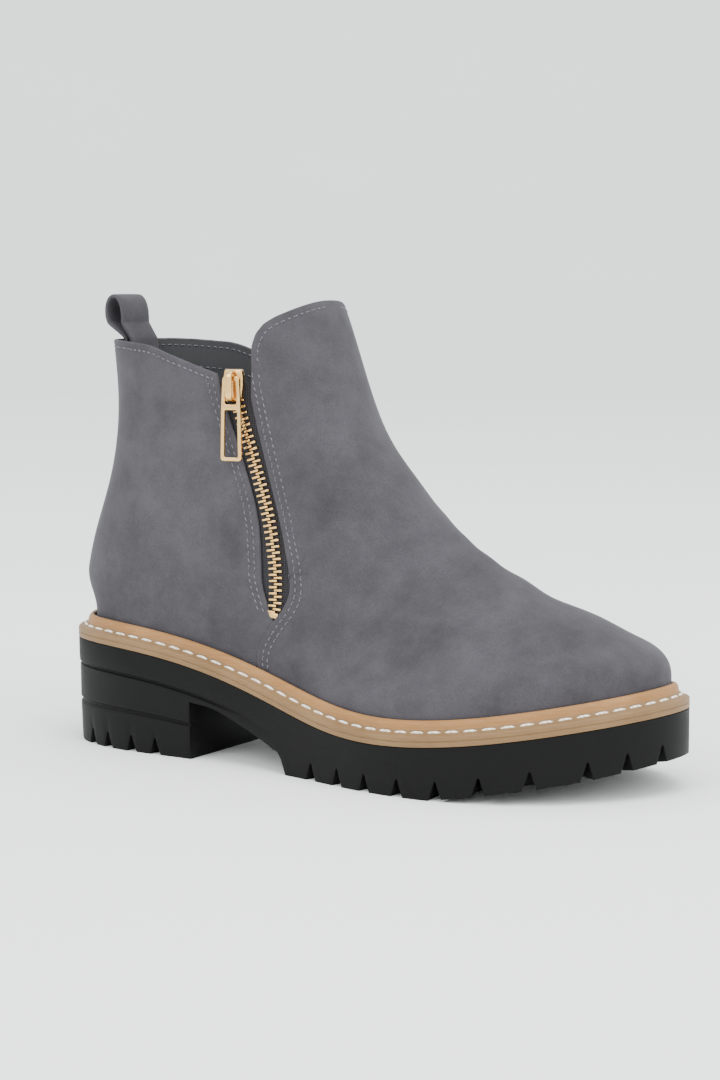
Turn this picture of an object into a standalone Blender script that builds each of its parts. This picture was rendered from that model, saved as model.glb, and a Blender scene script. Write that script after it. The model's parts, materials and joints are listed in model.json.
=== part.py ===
# Zip ankle boot for the right foot: a lugged rubber sole with a block heel, a stitched welt,
# a hollow upper with a raised front panel, two side zips, an insole and a pull loop.
# Units are metres and +Z is up. +X points to the toe and +Y to the wearer's left, the inner side.
# The origin is on the floor under the middle of the boot.

import math

import bmesh
import bpy
import numpy as np
from mathutils import Matrix

# Driving sizes of the sole
SOLE_LENGTH = 0.285
LATERAL_REACH = 0.060
MEDIAL_REACH = 0.051
HEEL_HEIGHT = 0.0458
FOREPART_HEIGHT = 0.0197
TOE_HEIGHT = 0.0326
TOE_SPRING = 0.0146
HEEL_LENGTH = 0.079
FOREPART_START = 0.130
WAIST_HEIGHT = 0.0247

# Driving sizes of the welt, the upper and the insole
WELT_HEIGHT = 0.0098
WELT_DEPTH = 0.0070
UPPER_HEIGHT = 0.170
UPPER_WALL = 0.0020
PANEL_STEP = 0.0008
INSOLE_THICKNESS = 0.0040
INSOLE_GAP = 0.0028
UPPER_SEAT = 0.0006
CLEARANCE = 0.0003

# Driving sizes of the side grooves and of the notches between the lugs
GROOVE_DROP = 0.0112
GROOVE_DEPTH = 0.0010
GROOVE_HALF_HEIGHT = 0.0009
NOTCH_HEIGHT = 0.0075
NOTCH_WIDTH = 0.0056
NOTCH_DEPTH = 0.0150
NOTCH_OUTSIDE = 0.0045

# Driving sizes of the zip, its slider and its pull tab
TAPE_THICKNESS = 0.0008
TAPE_OVERLAP = 0.0040
TAPE_GAP = 0.0008
CHAIN_WIDTH = 0.0062
CHAIN_THICKNESS = 0.0018
TOOTH_PITCH = 0.0026
SLIDER_WIDTH = 0.0090
SLIDER_LENGTH = 0.0135
SLIDER_THICKNESS = 0.0030
BRIDGE_WIDTH = 0.0030
BRIDGE_RISE = 0.0044
BRIDGE_BAR = 0.0013
TAB_LENGTH = 0.0350
TAB_WIDTH = 0.0096
TAB_THICKNESS = 0.0016
TAB_BAR = 0.0013
POST_LENGTH = 0.0020
BRIDGE_SHORTER = 0.0016
PIN_SIZE = 0.0016
CROSSBAR_LENGTH = 0.0024
CROSSBAR_DROP = 0.0022
JOIN = 0.0002

# Driving sizes of the pull loop
LOOP_WIDTH = 0.020
LOOP_THICKNESS = 0.0018

# Plan outline of the sole: station as a share of SOLE_LENGTH from the heel's back, then the outer
# side's half width as a share of LATERAL_REACH and the inner side's as a share of MEDIAL_REACH
OUTLINE = [
    (0.000, 0.000, 0.000),
    (0.0105, 0.222, 0.255),
    (0.035, 0.410, 0.471),
    (0.070, 0.530, 0.608),
    (0.140, 0.632, 0.706),
    (0.210, 0.657, 0.716),
    (0.298, 0.670, 0.696),
    (0.404, 0.720, 0.657),
    (0.509, 0.833, 0.706),
    (0.596, 0.947, 0.824),
    (0.667, 1.000, 0.922),
    (0.737, 0.993, 0.990),
    (0.807, 0.923, 0.990),
    (0.877, 0.760, 0.902),
    (0.930, 0.560, 0.755),
    (0.968, 0.342, 0.549),
    (0.993, 0.100, 0.333),
    (1.000, -0.100, 0.118),
]

# Height of the line where welt and sole meet: station, then the share of the heel's extra height
# and the share of the toe's extra height over the forepart
WELT_LINE = [
    (0.000, 1.000, 0.000),
    (0.140, 0.958, 0.000),
    (0.298, 0.709, 0.000),
    (0.421, 0.360, 0.000),
    (0.526, 0.077, 0.000),
    (0.667, 0.000, 0.000),
    (0.825, 0.000, 0.364),
    (1.000, 0.000, 1.000),
]

# Lift of the tread towards the toe: station, share of TOE_SPRING
TREAD_LINE = [(0.000, 0.00), (0.720, 0.00), (0.825, 0.322), (0.912, 0.610), (1.000, 1.00)]

# Under line of the waist: share of the way from the heel's breast to the first forepart lug,
# then the share of WAIST_HEIGHT
WAIST_LINE = [
    (0.00, 1.00), (0.26, 0.92), (0.50, 0.74), (0.73, 0.55), (0.90, 0.39), (0.98, 0.28), (1.01, 0.10),
    (1.07, -0.12),
]

# Side wall of the sole: share of the way down from the upper groove to the tread, inset share of
# GROOVE_DEPTH. The rows above the lower groove come from GROOVE_DROP.
LOWER_WALL = [(0.43, 0.7), (0.465, 1.7), (0.50, 0.8), (1.00, 1.3)]

# Stations of the notches, the same on both sides of the sole
NOTCH_STATIONS = [
    0.0035, 0.028, 0.077, 0.116, 0.165, 0.214, 0.516, 0.563, 0.614, 0.670, 0.730, 0.793, 0.860, 0.923,
    0.962, 0.990,
]

# Corners of a notch seen from the side, as shares of NOTCH_WIDTH along the edge and of NOTCH_HEIGHT up
NOTCH_SHAPE = [(-0.8, -0.6), (0.8, -0.6), (0.0, 1.0)]

# Profile of the welt as shares of WELT_DEPTH inwards and of WELT_HEIGHT upwards: side band,
# sloping stitched shelf, and the round bead against the upper
WELT_PROFILE = [
    (0.00, 0.00), (0.00, 0.40), (0.08, 0.48), (0.60, 0.64), (0.66, 0.80), (0.76, 0.95), (0.87, 1.00),
    (1.00, 0.93), (1.00, 0.00),
]

# Sections of the upper, fanned from the collar over the instep to the toe. Each runs from a point
# on the back or under line to one on the front or top line. Columns: back x and front x as shares
# of SOLE_LENGTH, back and front height over the welt line as shares of UPPER_HEIGHT, outer and
# inner half width as shares of LATERAL_REACH, share of the way where it is widest, roundness of
# its back or under part and of its front or top part, sideways place of the top line as a share
# of LATERAL_REACH
SECTIONS = [
    (0.061, 0.428, 0.908, 1.016, 0.592, 0.592, 0.46, 2.10, 2.30, 0.00),
    (0.067, 0.458, 0.779, 0.911, 0.583, 0.583, 0.46, 2.10, 2.30, 0.00),
    (0.073, 0.490, 0.644, 0.786, 0.567, 0.567, 0.45, 2.10, 2.25, 0.00),
    (0.070, 0.527, 0.520, 0.674, 0.550, 0.550, 0.44, 2.20, 2.20, 0.00),
    (0.054, 0.572, 0.396, 0.592, 0.542, 0.540, 0.42, 2.30, 2.15, 0.01),
    (0.030, 0.604, 0.272, 0.536, 0.542, 0.533, 0.39, 2.40, 2.10, 0.02),
    (0.017, 0.625, 0.166, 0.502, 0.552, 0.525, 0.36, 2.50, 2.10, 0.03),
    (0.016, 0.642, 0.060, 0.475, 0.560, 0.517, 0.33, 2.60, 2.10, 0.03),
    (0.049, 0.660, -0.081, 0.449, 0.575, 0.508, 0.30, 2.80, 2.10, 0.04),
    (0.158, 0.677, -0.141, 0.425, 0.608, 0.500, 0.28, 3.00, 2.10, 0.04),
    (0.281, 0.697, -0.171, 0.401, 0.658, 0.508, 0.26, 3.20, 2.15, 0.05),
    (0.393, 0.719, -0.150, 0.373, 0.717, 0.533, 0.25, 3.40, 2.20, 0.05),
    (0.491, 0.747, -0.118, 0.344, 0.792, 0.583, 0.25, 3.60, 2.25, 0.06),
    (0.579, 0.779, -0.096, 0.305, 0.858, 0.658, 0.25, 3.80, 2.22, 0.06),
    (0.653, 0.814, -0.086, 0.275, 0.872, 0.712, 0.26, 4.00, 2.18, 0.07),
    (0.716, 0.853, -0.076, 0.244, 0.858, 0.725, 0.28, 4.00, 2.14, 0.08),
    (0.765, 0.890, -0.071, 0.208, 0.808, 0.725, 0.30, 4.00, 2.10, 0.08),
    (0.807, 0.923, -0.062, 0.172, 0.742, 0.708, 0.32, 4.00, 2.08, 0.09),
    (0.842, 0.948, -0.049, 0.133, 0.650, 0.650, 0.34, 3.60, 2.06, 0.09),
    (0.870, 0.963, -0.039, 0.091, 0.550, 0.583, 0.36, 3.20, 2.04, 0.10),
    (0.891, 0.970, -0.034, 0.050, 0.433, 0.500, 0.40, 3.00, 2.02, 0.10),
    (0.905, 0.972, -0.026, 0.0036, 0.300, 0.367, 0.50, 2.50, 2.00, 0.10),
]

# Top line of the upper seen from the side: station, height over the welt line as a share of
# UPPER_HEIGHT. It dips to the zip, and the front panel rises with a round corner.
COLLAR_LINE = [
    (-0.05, 0.772), (0.065, 0.772), (0.105, 0.774), (0.161, 0.774), (0.193, 0.774), (0.228, 0.764),
    (0.270, 0.753), (0.299, 0.747), (0.318, 0.746), (0.345, 0.768), (0.3705, 0.800), (0.3705, 0.838),
    (0.3755, 0.870), (0.386, 0.899), (0.400, 0.922), (0.415, 0.943), (0.4285, 0.963), (0.440, 0.981),
    (0.460, 0.992), (0.55, 0.995),
]

# Edges of the zip's opening seen from the side, from the top down: height over the welt line as a
# share of UPPER_HEIGHT, then the stations of the rear and the front edge
ZIP_OPENING = [
    (0.790, 0.3110, 0.3640),
    (0.700, 0.3230, 0.3720),
    (0.560, 0.3530, 0.3940),
    (0.440, 0.3750, 0.4125),
    (0.370, 0.3815, 0.4225),
    (0.310, 0.3840, 0.4300),
    (0.255, 0.3865, 0.4305),
    (0.215, 0.3960, 0.4215),
    (0.176, 0.4040, 0.4080),
]

# Seam from the zip's foot down to the welt, edge of the raised front panel
SEAM_LINE = [(0.176, 0.4060), (0.140, 0.3985), (0.110, 0.3910), (0.050, 0.3890), (0.012, 0.3890)]
PANEL_LIFT = 0.012
PANEL_EDGE_START = 0.02
PANEL_EDGE_END = 1.05
PANEL_EDGE_POINTS = 24

# Middle line of the pull loop seen from the side: distance forward of the upper's back line and
# height over the collar's back, both in shares of LOOP_RISE
LOOP_RISE = 0.0195
LOOP_PATH = [
    (0.128, -1.330), (0.128, -0.850), (0.128, -0.350), (0.130, -0.100), (0.075, 0.100),
    (-0.095, 0.310), (-0.180, 0.560), (-0.138, 0.830), (0.012, 0.950), (0.165, 0.860),
    (0.252, 0.620), (0.266, 0.330), (0.262, 0.050), (0.268, -0.350), (0.272, -0.850),
    (0.272, -1.330),
]
LOOP_BOW = 24.0

# Mesh density
OUTLINE_STEPS = 40
SECTION_STEPS = 40
AROUND_STEPS = 28
LOOP_STEPS = 25
LOOP_COLUMNS = 4
PULL_FULL_HEIGHT = 0.0115
PULL_FADE_HEIGHT = 0.0200


def spline(stations, values, at):
    """Natural cubic spline through a table's rows."""
    x = np.asarray(stations, float)
    y = np.asarray(values, float)
    at = np.clip(np.asarray(at, float), x[0], x[-1])
    gap = np.diff(x)
    slope = np.diff(y) / gap
    count = len(x)
    matrix = np.eye(count)
    right = np.zeros(count)
    for k in range(1, count - 1):
        matrix[k, k - 1] = gap[k - 1]
        matrix[k, k] = 2 * (gap[k - 1] + gap[k])
        matrix[k, k + 1] = gap[k]
        right[k] = 6 * (slope[k] - slope[k - 1])
    bend = np.linalg.solve(matrix, right)
    k = np.clip(np.searchsorted(x, at, side="right") - 1, 0, count - 2)
    u = at - x[k]
    v = x[k + 1] - at
    curve = (bend[k] * v ** 3 + bend[k + 1] * u ** 3) / (6 * gap[k])
    line = (y[k] / gap[k] - bend[k] * gap[k] / 6) * v + (y[k + 1] / gap[k] - bend[k + 1] * gap[k] / 6) * u
    return curve + line


def column(table, index):
    return [row[index] for row in table]


def angle_of(share):
    """Turns a station's share into an angle, so that round ends of an outline stay round."""
    return np.arccos(np.clip(1 - 2 * np.asarray(share, float), -1, 1))


OUTLINE_ANGLES = angle_of(column(OUTLINE, 0))


def plan_half_widths(angle):
    """Outer and inner y of the sole's edge at an outline angle."""
    outer = -LATERAL_REACH * spline(OUTLINE_ANGLES, column(OUTLINE, 1), angle)
    inner = MEDIAL_REACH * spline(OUTLINE_ANGLES, column(OUTLINE, 2), angle)
    return outer, inner


def welt_line(x):
    """Height of the line where welt and sole meet, at a distance x from the heel's back."""
    share = np.clip(np.asarray(x, float) / SOLE_LENGTH, 0, 1)
    stations = column(WELT_LINE, 0)
    heel = spline(stations, column(WELT_LINE, 1), share)
    toe = spline(stations, column(WELT_LINE, 2), share)
    return FOREPART_HEIGHT + (HEEL_HEIGHT - FOREPART_HEIGHT) * heel + (TOE_HEIGHT - FOREPART_HEIGHT) * toe


def tread_line(x):
    share = np.clip(np.asarray(x, float) / SOLE_LENGTH, 0, 1)
    return TOE_SPRING * np.interp(share, column(TREAD_LINE, 0), column(TREAD_LINE, 1))


def outline(inset, steps=OUTLINE_STEPS):
    """Closed plan outline, inset from the sole's edge. It starts at the heel's back, follows the
    outer side to the toe and comes back on the inner side."""
    angle = np.linspace(0, math.pi, steps + 1)
    x = SOLE_LENGTH * (1 - np.cos(angle)) / 2
    outer, inner = plan_half_widths(angle)
    xs = np.concatenate([x, x[-2:0:-1]])
    ys = np.concatenate([outer, inner[-2:0:-1]])
    dx = np.roll(xs, -1) - np.roll(xs, 1)
    dy = np.roll(ys, -1) - np.roll(ys, 1)
    length = np.hypot(dx, dy)
    return np.stack([xs - inset * dy / length, ys + inset * dx / length], axis=1)


EDGE_STEPS = 240
EDGE = outline(0.0, EDGE_STEPS)


def edge_distance(x, y):
    """Distance in from the sole's edge, and the direction towards that edge, for many points."""
    start = EDGE
    step = np.roll(EDGE, -1, axis=0) - EDGE
    distance = np.empty(len(x))
    away = np.empty((len(x), 2))
    for k in range(len(x)):
        rel_x = x[k] - start[:, 0]
        rel_y = y[k] - start[:, 1]
        along = np.clip((rel_x * step[:, 0] + rel_y * step[:, 1]) / (step ** 2).sum(axis=1), 0, 1)
        gap_x = start[:, 0] + along * step[:, 0] - x[k]
        gap_y = start[:, 1] + along * step[:, 1] - y[k]
        reach = np.hypot(gap_x, gap_y)
        near = int(np.argmin(reach))
        normal = np.array([step[near, 1], -step[near, 0]])
        normal = normal / np.hypot(normal[0], normal[1])
        inside = -(gap_x[near] * -normal[0] + gap_y[near] * -normal[1])
        distance[k] = math.copysign(reach[near], inside)
        away[k] = normal
    return distance, away


FEATHER_INSET = WELT_DEPTH + CLEARANCE + PANEL_STEP
SECTION_ROWS = np.arange(len(SECTIONS))


def section_values(rows):
    return [spline(SECTION_ROWS, column(SECTIONS, k), rows) for k in range(10)]


def upper_points(rows, turns, sides):
    """Points of the upper's outer face. A row is a place in the table of sections, a turn is the
    angle round a section from its front or top line, and a side is -1 outside and +1 inside."""
    values = section_values(rows)
    back_x, front_x = values[0] * SOLE_LENGTH, values[1] * SOLE_LENGTH
    back_h, front_h = values[2] * UPPER_HEIGHT, values[3] * UPPER_HEIGHT
    half = np.where(sides < 0, values[4], values[5]) * LATERAL_REACH
    widest, under, over, shift = values[6], values[7], values[8], values[9]
    cosine, sine = np.cos(turns), np.abs(np.sin(turns))
    power = np.where(cosine >= 0, over, under)
    reach = (np.abs(cosine) ** power + sine ** power) ** (-1 / power)
    share = widest + np.where(cosine >= 0, 1 - widest, widest) * reach * cosine
    x = back_x + (front_x - back_x) * share
    h = back_h + (front_h - back_h) * share
    y = sides * half * reach * sine + shift * LATERAL_REACH * share
    distance, away = edge_distance(x, y)
    fade = np.clip((h - PULL_FULL_HEIGHT) / PULL_FADE_HEIGHT, 0, 1)
    hold = 1 - fade * fade * (3 - 2 * fade)
    x = x + away[:, 0] * (distance - FEATHER_INSET) * hold
    y = y + away[:, 1] * (distance - FEATHER_INSET) * hold
    return np.stack([x, y, welt_line(x) + h], axis=1)


def last_turn(rows):
    """Angle where a section meets the sole, or half a turn where it closes behind the heel."""
    values = section_values(rows)
    back_h, front_h = values[2] * UPPER_HEIGHT, values[3] * UPPER_HEIGHT
    widest, under, over = values[6], values[7], values[8]
    turns = np.linspace(0, math.pi, 361)
    result = np.empty(len(rows))
    for k in range(len(rows)):
        cosine, sine = np.cos(turns), np.abs(np.sin(turns))
        power = np.where(cosine >= 0, over[k], under[k])
        reach = (np.abs(cosine) ** power + sine ** power) ** (-1 / power)
        share = widest[k] + np.where(cosine >= 0, 1 - widest[k], widest[k]) * reach * cosine
        h = back_h[k] + (front_h[k] - back_h[k]) * share - UPPER_SEAT
        below = np.nonzero(h < 0)[0]
        if len(below) == 0:
            result[k] = math.pi
        elif below[0] == 0:
            result[k] = 0.0
        else:
            i = below[0]
            result[k] = turns[i - 1] + (turns[i] - turns[i - 1]) * h[i - 1] / (h[i - 1] - h[i])
    return result


def side_point(x, h, side):
    """Point of the upper's outer face at a place given from the side, and the outward normal."""
    rows = np.linspace(0, len(SECTIONS) - 1.001, 900)
    values = section_values(rows)
    back_x, front_x = values[0] * SOLE_LENGTH, values[1] * SOLE_LENGTH
    back_h, front_h = values[2] * UPPER_HEIGHT, values[3] * UPPER_HEIGHT
    cross = (front_x - back_x) * (h - back_h) - (front_h - back_h) * (x - back_x)
    change = np.nonzero((cross[:-1] < 0) & (cross[1:] >= 0))[0]
    k = change[0]
    row = rows[k] + (rows[k + 1] - rows[k]) * cross[k] / (cross[k] - cross[k + 1])

    def turn_at(row_now, x_now):
        now = [value[0] for value in section_values(np.array([row_now]))]
        share = (x_now - now[0] * SOLE_LENGTH) / ((now[1] - now[0]) * SOLE_LENGTH)
        span = (1 - now[6]) if share > now[6] else now[6]
        power = now[8] if share > now[6] else now[7]
        cosine = min(max((share - now[6]) / span, -1), 1)
        sine = (1 - abs(cosine) ** power) ** (1 / power)
        return math.atan2(sine, cosine)

    turn = turn_at(row, x)
    nudge = 0.02
    trio = upper_points(np.array([row, row + nudge, row]), np.array([turn, turn, turn + nudge]),
                        np.array([side, side, side], float))
    normal = np.cross(trio[1] - trio[0], trio[2] - trio[0])
    normal = normal / np.linalg.norm(normal)
    if normal[1] * side < 0:
        normal = -normal
    return trio[0], normal


# Scene set-up: the objects go in one collection, the cutters in another
for old in list(bpy.data.objects):
    bpy.data.objects.remove(old, do_unlink=True)

BOOT = bpy.data.collections.new("zip_ankle_boot")
CUTTERS = bpy.data.collections.new("cutters")
bpy.context.scene.collection.children.link(BOOT)
bpy.context.scene.collection.children.link(CUTTERS)

# The model is drawn from the heel's back, and this empty puts the middle of its box at the origin
BOOT_MIDDLE = bpy.data.objects.new("boot_middle", None)
BOOT_MIDDLE.location = (-SOLE_LENGTH / 2, (LATERAL_REACH - MEDIAL_REACH) / 2, 0)
BOOT.objects.link(BOOT_MIDDLE)


def material(name, colour, roughness, metallic=0.0):
    made = bpy.data.materials.new(name)
    made.use_nodes = True
    shader = made.node_tree.nodes["Principled BSDF"]
    shader.inputs["Base Color"].default_value = (*colour, 1)
    shader.inputs["Roughness"].default_value = roughness
    shader.inputs["Metallic"].default_value = metallic
    return made


def add_object(name, mesh, surface=None, cutter=False):
    made = bpy.data.objects.new(name, mesh)
    made.parent = BOOT_MIDDLE
    if cutter:
        made.hide_render = True
        made.display_type = "WIRE"
        CUTTERS.objects.link(made)
    else:
        BOOT.objects.link(made)
    if surface is not None:
        mesh.materials.append(surface)
    return made


def mesh_from(name, points, faces, smooth=40):
    built = bmesh.new()
    verts = [built.verts.new(tuple(float(value) for value in point)) for point in points]
    for face in faces:
        corners = [verts[k] for k in face]
        if len(set(corners)) > 2:
            built.faces.new(corners)
    bmesh.ops.remove_doubles(built, verts=built.verts, dist=0.00001)
    bmesh.ops.recalc_face_normals(built, faces=built.faces)
    mesh = bpy.data.meshes.new(name)
    built.to_mesh(mesh)
    built.free()
    mesh.shade_smooth()
    mesh.set_sharp_from_angle(angle=math.radians(smooth))
    return mesh


def boolean(target, tool, operation, solver="EXACT"):
    """The upper's thin closed shells are cut and joined by the solver for closed shells."""
    step = target.modifiers.new(operation.lower(), "BOOLEAN")
    step.operation = operation
    step.solver = solver
    step.object = tool


def ring_solid(rings):
    """Solid between closed plan rings of equal length, its ends filled from side to side."""
    count = len(rings[0])
    points = [tuple(point) for ring in rings for point in ring]
    faces = []
    for level in range(len(rings) - 1):
        for k in range(count):
            after = (k + 1) % count
            low = level * count
            faces.append((low + k, low + after, low + count + after, low + count + k))
    half = count // 2
    for base in (0, (len(rings) - 1) * count):
        for k in range(half):
            left, right = base + k, base + (count - k) % count
            far_left, far_right = base + k + 1, base + (count - k - 1) % count
            corners = []
            for corner in (left, far_left, far_right, right):
                if corner not in corners:
                    corners.append(corner)
            faces.append(tuple(corners))
    return points, faces


def prism(name, polygon, low_y, high_y):
    """Side-view polygon of (x, z) points, extruded across the boot."""
    built = bmesh.new()
    face = built.faces.new([built.verts.new((x, low_y, z)) for x, z in polygon])
    grown = bmesh.ops.extrude_face_region(built, geom=[face])
    moved = [item for item in grown["geom"] if isinstance(item, bmesh.types.BMVert)]
    bmesh.ops.translate(built, verts=moved, vec=(0, high_y - low_y, 0))
    bmesh.ops.recalc_face_normals(built, faces=built.faces)
    mesh = bpy.data.meshes.new(name)
    built.to_mesh(mesh)
    built.free()
    return mesh


def side_xz(station, height_share):
    x = station * SOLE_LENGTH
    return x, float(welt_line(x)) + height_share * UPPER_HEIGHT


ACROSS = 2 * LATERAL_REACH
RUBBER = material("black_rubber", (0.020, 0.020, 0.021), 0.55)
WELTING = material("tan_welting", (0.376, 0.275, 0.184), 0.50)
NUBUCK = material("grey_nubuck", (0.136, 0.133, 0.152), 0.88)
LINING = material("dark_lining", (0.060, 0.065, 0.068), 0.90)
TAPE_CLOTH = material("zip_tape_cloth", (0.030, 0.030, 0.033), 0.95)
GILT = material("gilt_metal", (0.745, 0.479, 0.188), 0.28, 1.0)


# Outsole: one moulded piece with grooves in its side, a block heel, a raised waist and lugs
def outsole():
    rings = []
    groove = GROOVE_HALF_HEIGHT
    edges = [(0.0, 0.0), (GROOVE_DROP - groove, 0.3), (GROOVE_DROP, 1.6), (GROOVE_DROP + groove, 0.7)]
    base = outline(0.0)
    fade = np.clip((1.35 * FOREPART_START - base[:, 0]) / (0.35 * FOREPART_START), 0, 1)
    top = welt_line(base[:, 0])
    for drop, inset_share in edges:
        flat = outline(inset_share * GROOVE_DEPTH)
        xy = base + (flat - base) * fade[:, None]
        rings.append(np.column_stack([xy, top - drop]))
    start = top - edges[-1][0]
    foot = tread_line(base[:, 0])
    for share, inset_share in LOWER_WALL:
        flat = outline(inset_share * GROOVE_DEPTH)
        xy = base + (flat - base) * fade[:, None]
        rings.append(np.column_stack([xy, start + (foot - start) * share]))
    points, faces = ring_solid(rings)
    sole = add_object("outsole", mesh_from("outsole", points, faces), RUBBER)

    run = FOREPART_START - HEEL_LENGTH
    line = [(HEEL_LENGTH + share * run, height * WAIST_HEIGHT) for share, height in WAIST_LINE]
    below = -WAIST_HEIGHT
    polygon = [(HEEL_LENGTH, below)] + line + [(line[-1][0], below)]
    waist = add_object("waist_cutter", prism("waist_cutter", polygon, -ACROSS, ACROSS), cutter=True)
    boolean(sole, waist, "DIFFERENCE")

    notches = add_object("notch_cutter", notch_mesh(), cutter=True)
    boolean(sole, notches, "DIFFERENCE")
    return sole


def notch_places():
    """Places of the notches on both sides of the sole's edge, and the edge's heading there."""
    places = []
    for station in NOTCH_STATIONS:
        near = int(round(float(angle_of(station)) / math.pi * EDGE_STEPS))
        for k in (near, 2 * EDGE_STEPS - near):
            before = EDGE[k - 1]
            after = EDGE[(k + 1) % len(EDGE)]
            places.append((EDGE[k][0], EDGE[k][1], math.atan2(after[1] - before[1], after[0] - before[0])))
    return places


def notch_mesh():
    """Three-sided wedges, point up, laid across the sole's edge."""
    built = bmesh.new()
    for x, y, heading in notch_places():
        foot = np.array([x, y, float(tread_line(x))])
        along = np.array([math.cos(heading), math.sin(heading), 0.0])
        inward = np.array([-along[1], along[0], 0.0])
        rings = []
        for reach in (-NOTCH_OUTSIDE, NOTCH_DEPTH):
            ring = []
            for across, rise in NOTCH_SHAPE:
                spot = foot + along * across * NOTCH_WIDTH + inward * reach
                ring.append(built.verts.new((spot[0], spot[1], spot[2] + rise * NOTCH_HEIGHT)))
            rings.append(ring)
            built.faces.new(ring)
        for k in range(3):
            after = (k + 1) % 3
            built.faces.new((rings[0][k], rings[0][after], rings[1][after], rings[1][k]))
    bmesh.ops.recalc_face_normals(built, faces=built.faces)
    mesh = bpy.data.meshes.new("notch_cutter")
    built.to_mesh(mesh)
    built.free()
    return mesh


# Welt: a ring with a side band, a sloping shelf for the stitches, and a round bead
def welt():
    base_z = welt_line(outline(0.0)[:, 0]) + CLEARANCE
    rings = []
    for inward, up in WELT_PROFILE:
        xy = outline(inward * WELT_DEPTH)
        rings.append(np.column_stack([xy, base_z + up * WELT_HEIGHT]))
    count = len(rings[0])
    points = [tuple(point) for ring in rings for point in ring]
    faces = []
    levels = len(rings)
    for level in range(levels):
        for k in range(count):
            after = (k + 1) % count
            low, high = level * count, ((level + 1) % levels) * count
            faces.append((low + k, low + after, high + after, high + k))
    return add_object("welt", mesh_from("welt", points, faces), WELTING)


# Insole: a board that follows the last's bottom, inside the upper
def insole():
    inset = FEATHER_INSET + UPPER_WALL + INSOLE_GAP
    flat = outline(inset)
    base_z = welt_line(flat[:, 0]) + CLEARANCE
    rings = [np.column_stack([flat, base_z + rise]) for rise in (INSOLE_THICKNESS, 0.0)]
    points, faces = ring_solid(rings)
    return add_object("insole", mesh_from("insole", points, faces), LINING)


def even_rows(steps):
    """Rows of the table of sections, spaced evenly along the sole line and the top line. One of
    them is the row that just touches the sole line behind the heel."""
    fine = np.linspace(0, len(SECTIONS) - 1, 1200)
    turns = last_turn(fine)
    side = -np.ones(len(fine))
    low = upper_points(fine, turns, side)
    high = upper_points(fine, np.zeros(len(fine)), side)
    low_step = np.linalg.norm(np.diff(low, axis=0), axis=1)
    high_step = np.linalg.norm(np.diff(high, axis=0), axis=1)
    run = np.concatenate([[0], np.cumsum(low_step + 0.7 * high_step)])
    rows = np.interp(np.linspace(0, run[-1], steps + 1), run, fine)
    heel_row = fine[np.nonzero(turns < math.pi)[0][0] - 1]
    rows[int(np.argmin(np.abs(rows - heel_row)))] = heel_row
    return rows


def upper_sheet(name):
    """Open sheet over the last, from the collar to the line where it meets the sole."""
    rows = even_rows(SECTION_STEPS)
    limit = last_turn(rows)
    share = np.linspace(-1, 1, AROUND_STEPS + 1)
    grid_rows = np.repeat(rows, len(share))
    grid_turns = (limit[:, None] * share[None, :]).ravel()
    sides = np.where(grid_turns < 0, -1.0, 1.0)
    points = upper_points(grid_rows, np.abs(grid_turns), sides)
    wide = len(share)
    faces = []
    for i in range(len(rows) - 1):
        for j in range(wide - 1):
            low = i * wide + j
            faces.append((low, low + 1, low + wide + 1, low + wide))
    return mesh_from(name, points, faces, 70)


def check_outward(mesh):
    """Turns an open sheet so that its faces look away from the inside of the boot."""
    built = bmesh.new()
    built.from_mesh(mesh)
    votes = 0.0
    for face in built.faces:
        centre = face.calc_center_median()
        votes += face.normal.y * centre.y * face.calc_area()
    if votes < 0:
        bmesh.ops.reverse_faces(built, faces=built.faces)
    built.to_mesh(mesh)
    built.free()


def thicken(target, thickness):
    wall = target.modifiers.new("wall", "SOLIDIFY")
    wall.thickness = thickness
    wall.offset = -1
    wall.use_quality_normals = True


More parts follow.
